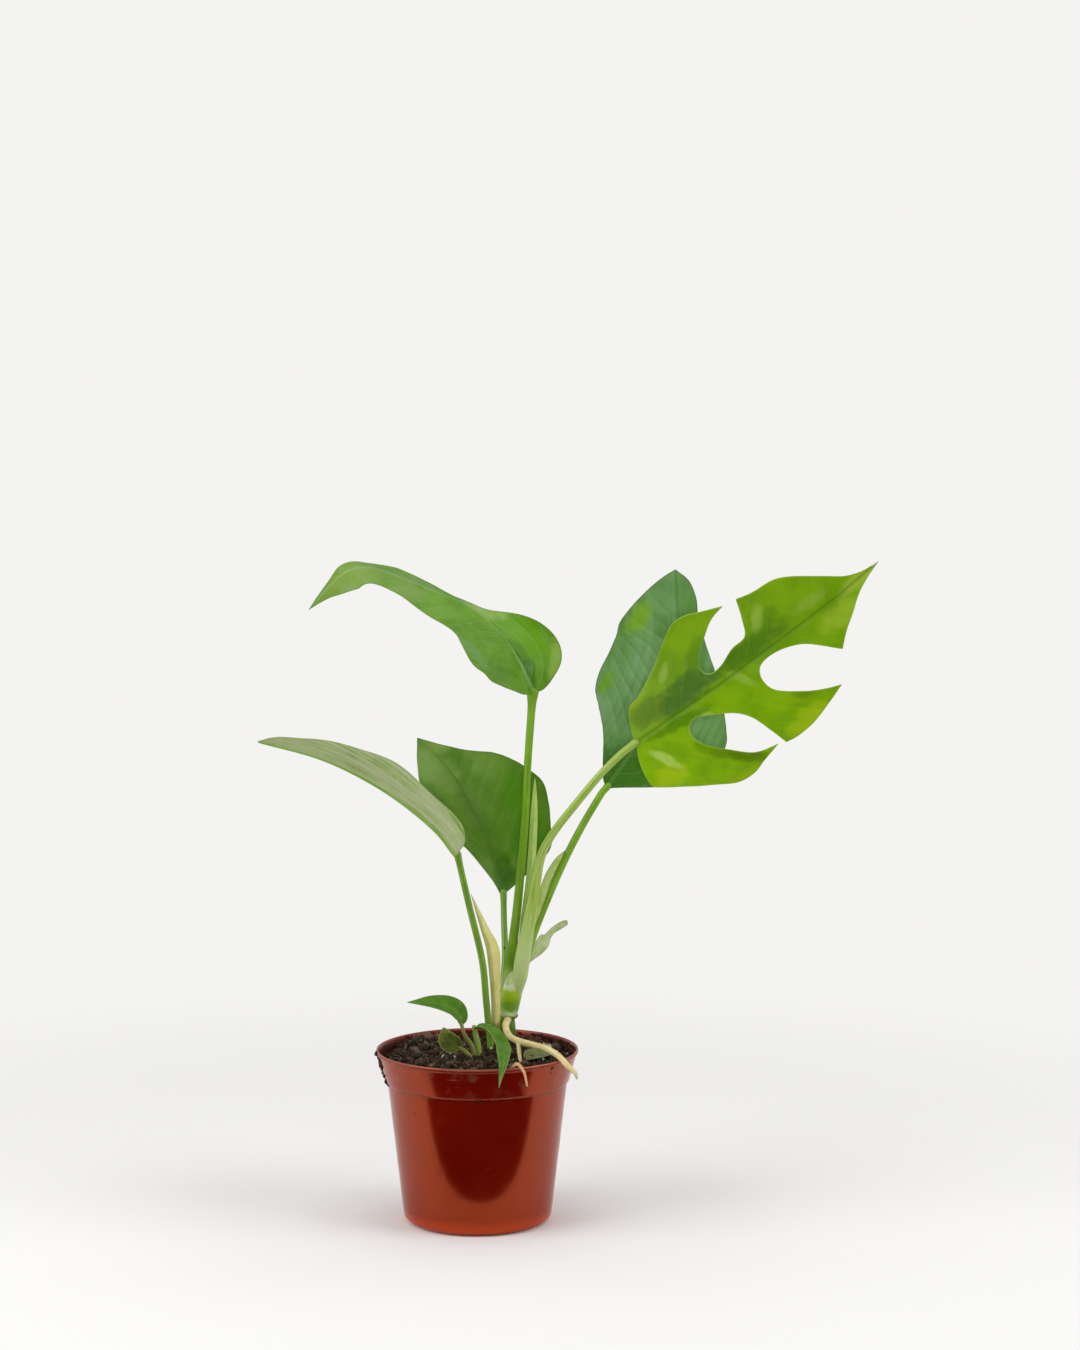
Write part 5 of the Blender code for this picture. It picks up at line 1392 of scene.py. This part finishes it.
AROUND = 220
RINGS = 110
top = []
for ring in range(1, RINGS + 1):
    for k in range(AROUND):
        angle = 2 * math.pi * (k + 0.5 * (ring % 2)) / AROUND
        radius = ring / RINGS * (wall_radius(96.0) - FIT_GAP)
        x, y = radius * math.cos(angle), radius * math.sin(angle)
        top.append((x, y, soil_height(x, y)))
for height in (88.0, 60.0, 30.0, 8.0, 4.2):
    for k in range(AROUND):
        angle = 2 * math.pi * k / AROUND
        radius = wall_radius(height) - FIT_GAP
        top.append((radius * math.cos(angle), radius * math.sin(angle), height))
rows = len(top) // AROUND
faces = ring_faces(rows, AROUND, inward=True)
top.append((0.0, 0.0, soil_height(0.0, 0.0)))
top.append((0.0, 0.0, 4.2))
for k in range(AROUND):
    after = (k + 1) % AROUND
    faces.append((len(top) - 2, k, after))
    faces.append((len(top) - 1, (rows - 1) * AROUND + after, (rows - 1) * AROUND + k))
mesh = bpy.data.meshes.new("peat_body")
mesh.from_pydata([(x * MM, y * MM, z * MM) for x, y, z in top], [], faces)
smooth_faces(mesh, 60)
peat_body = settle("peat_body", mesh, "peat", "soil")
print("peat body", len(faces), "faces")

# %% Crumbs
DRAW = random.Random(11)


def crumb_shapes(count, roughness=0.42):
    """A few irregular lumps, to be scattered in many sizes and turns."""
    shapes = []
    for number in range(count):
        work = bmesh.new()
        bmesh.ops.create_icosphere(work, subdivisions=2, radius=1.0)
        for vertex in work.verts:
            bulge = noise.fractal(vertex.co * 1.3 + Vector((number * 7.1, 3.3, number * 2.7)), 0.8, 2.0, 3)
            vertex.co *= 1.0 + roughness * bulge
            vertex.co.z *= 0.75
        work.verts.ensure_lookup_table()
        corners = np.array([tuple(vertex.co) for vertex in work.verts])
        shapes.append((corners, np.array([[v.index for v in face.verts] for face in work.faces])))
        work.free()
    return shapes


def turned(corners, draw):
    angles = [draw.uniform(0, 2 * math.pi) for _ in range(3)]
    (cx, sx), (cy, sy), (cz, sz) = [(math.cos(a), math.sin(a)) for a in angles]
    about_x = np.array([[1, 0, 0], [0, cx, -sx], [0, sx, cx]])
    about_y = np.array([[cy, 0, sy], [0, 1, 0], [-sy, 0, cy]])
    about_z = np.array([[cz, -sz, 0], [sz, cz, 0], [0, 0, 1]])
    return corners @ (about_z @ about_y @ about_x).T


def scatter(name, slot, spots, finish, shapes, draw):
    """One mesh of many crumbs; each spot is (place in mm, radius in mm)."""
    corners, faces, shades, start = [], [], [], 0
    for place, radius in spots:
        shape, triangles = draw.choice(shapes)
        stretch = np.array([draw.uniform(0.75, 1.3), draw.uniform(0.75, 1.3), draw.uniform(0.6, 1.0)])
        corners.append(turned(shape * stretch, draw) * radius + np.asarray(place))
        faces.append(triangles + start)
        shades.append(np.full(len(shape), draw.random()))
        start += len(shape)
    mesh = bpy.data.meshes.new(name)
    mesh.from_pydata(np.concatenate(corners) * MM, [], np.concatenate(faces).tolist())
    keep_values(mesh, {"shade": np.concatenate(shades)})
    smooth_faces(mesh, 40)
    mesh.materials.append(finish)
    print(name, len(spots), "crumbs,", len(mesh.polygons), "triangles")
    return settle(name, mesh, slot)


# %% Peat finish
def peat_finish(name, dark, brown, pale, pale_share):
    """Damp peat: black-brown with brown crumbs and a few pale grains."""
    material, tree, shader = new_finish(name)
    cloud = apply_effect(tree, MOTTLE, "Mask", Size=5.0, Low=0.35, High=0.7)
    crumbs = apply_effect(tree, MOTTLE, "Mask", Size=0.9, Low=0.45, High=0.7)
    colour = tint(tree, cloud, dark, brown)
    colour = over(tree, colour, brown, crumbs, 0.6)
    own = between(tree, stored(tree, "shade"), 0.7, 1.0)
    colour = over(tree, colour, pale, own, 0.7)
    grains = apply_effect(tree, SPECKS, "Mask", Spacing=1.6, Size=0.26, Share=pale_share)
    colour = tint(tree, grains, colour, (0.45, 0.36, 0.3))
    height = grain(tree, 0.9, detail=5.0, roughness=0.65)
    wet = between(tree, grain(tree, 3.0, detail=3.0), 0.35, 0.65, 0.35, 0.9)
    dress(tree, shader, colour, wet, height, relief=0.5, specular_ior_level=0.55,
          specular_tint=(1.0, 0.8, 0.5, 1.0))
    return material


peat_skin = peat_finish("peat_skin", (0.003, 0.002, 0.0015), (0.02, 0.009, 0.005), (0.16, 0.09, 0.065), 0.12)
peat_body.data.materials.append(peat_skin)
perlite_skin, tree, shader = new_finish("perlite_skin")
cloud = apply_effect(tree, MOTTLE, "Mask", Size=1.2, Low=0.4, High=0.65)
colour = tint(tree, cloud, (0.62, 0.6, 0.52), (0.36, 0.34, 0.26))
colour = over(tree, colour, (0.42, 0.46, 0.28), stored(tree, "shade"), 0.4)
dress(tree, shader, colour, 0.85, grain(tree, 0.5, detail=4.0), relief=0.3)

# %% Scatter the crumbs
def on_soil(draw, reach=1.0):
    radius = math.sqrt(draw.random()) * 56.0 * reach
    angle = draw.uniform(0, 2 * math.pi)
    return radius * math.cos(angle), radius * math.sin(angle)


shapes = crumb_shapes(14)
spots = []
for number in range(1500):
    x, y = on_soil(DRAW)
    if number < 60:
        x, y = -32 + DRAW.gauss(0, 9), 20 + DRAW.gauss(0, 12)
    if math.hypot(x, y) > 55:
        continue
    size = (1.6 if number < 150 else 0.45) + 1.9 * DRAW.random() ** 3
    spots.append(((x, y, soil_height(x, y) + 0.25 * size), size))
scatter("peat_crumbs", "peat", spots, peat_skin, shapes, DRAW)

spots = []
for number in range(70):
    x, y = on_soil(DRAW, 0.97)
    if number < 36:
        x, y = 44 + DRAW.gauss(0, 7), 22 + DRAW.gauss(0, 9)
    if math.hypot(x, y) > 55:
        continue
    size = 0.5 + 0.9 * DRAW.random() ** 2
    spots.append(((x, y, soil_height(x, y) + 0.5 * size), size))
scatter("perlite_grains", "peat", spots, perlite_skin, shapes, DRAW)

# %% Dirt stuck to the pot
STUCK = [(189, 97, 40, 7.0, 1.3), (192, 86, 16, 3.0, 1.1), (-41, 97.5, 3, 2.6, 0.5), (-45, 27, 1, 0.1, 0.6),
         (-133, 72, 4, 1.6, 0.35), (-87, 83.4, 7, 3.2, 0.45), (-62, 95, 4, 4.0, 0.3), (-70, 12, 1, 0.1, 0.4)]


def band_radius(height):
    heights = [3.0, 8.0, 83.7, 84.6, 100.4, 101.2]
    return float(np.interp(height, heights, [43.9, 44.7, 53.4, 54.7, 59.2, 60.2]))


spots = []
for turn, height, count, spread, size in STUCK:
    for _ in range(count):
        z = min(height + DRAW.gauss(0, spread / 2), RIM_HEIGHT - 0.5)
        angle = math.radians(turn) + DRAW.gauss(0, spread / 3) / 56.0
        radius = band_radius(z) + 0.1
        spots.append(((radius * math.cos(angle), radius * math.sin(angle), z), size * DRAW.uniform(0.5, 1.2)))
for number in range(300):
    z = DRAW.uniform(97.5, RIM_HEIGHT + 0.2) if number < 90 else DRAW.uniform(96.0, 101.8)
    angle = DRAW.uniform(0.0, 2 * math.pi) if number < 90 else math.radians(DRAW.uniform(5.0, 105.0))
    radius = wall_radius(z) - 0.2
    spots.append(((radius * math.cos(angle), radius * math.sin(angle), z), DRAW.uniform(0.25, 0.8)))
scatter("stuck_dirt", "peat", spots, peat_skin, shapes, DRAW)

# %% Fibres in the peat
def hair(points, radius, sides=4):
    """A thin tapering rod through the points, as corner places and faces."""
    line = smooth_route(points, 3)
    corners = []
    for index, spot in enumerate(line):
        thin = radius * (1.0 - 0.7 * index / (len(line) - 1))
        for k in range(sides):
            angle = 2 * math.pi * k / sides
            corners.append(spot + thin * np.array([math.cos(angle), math.sin(angle) * 0.6, math.sin(angle)]))
    return np.array(corners), rod_faces(len(line), sides)


corners, faces, shades, start = [], [], [], 0
for _ in range(260):
    x, y = on_soil(DRAW, 0.95)
    heading = DRAW.uniform(0, 2 * math.pi)
    length = DRAW.uniform(2.5, 8.0)
    points = []
    for step in range(4):
        px = x + math.cos(heading) * length * step / 3
        py = y + math.sin(heading) * length * step / 3
        if math.hypot(px, py) > 55.5:
            break
        points.append((px, py, soil_height(px, py) + 0.4 + DRAW.uniform(-0.5, 0.9)))
        heading += DRAW.gauss(0, 0.45)
    if len(points) < 4:
        continue
    some, sides = hair(points, DRAW.uniform(0.1, 0.26))
    corners.append(some)
    faces += [[k + start for k in face] for face in sides]
    shades.append(np.full(len(some), DRAW.random()))
    start += len(some)
mesh = bpy.data.meshes.new("peat_fibres")
mesh.from_pydata(np.concatenate(corners) * MM, [], faces)
keep_values(mesh, {"shade": np.concatenate(shades)})
smooth_faces(mesh)
fibre_skin, tree, shader = new_finish("fibre_skin")
colour = tint(tree, stored(tree, "shade"), (0.05, 0.022, 0.012), (0.3, 0.17, 0.09))
blotches = apply_effect(tree, MOTTLE, "Mask", Size=1.5, Low=0.4, High=0.6)
colour = tint(tree, blotches, colour, (0.12, 0.06, 0.03))
dress(tree, shader, colour, 0.8, grain(tree, 0.3), relief=0.1)
mesh.materials.append(fibre_skin)
settle("peat_fibres", mesh, "peat")
print("fibres", len(shades))
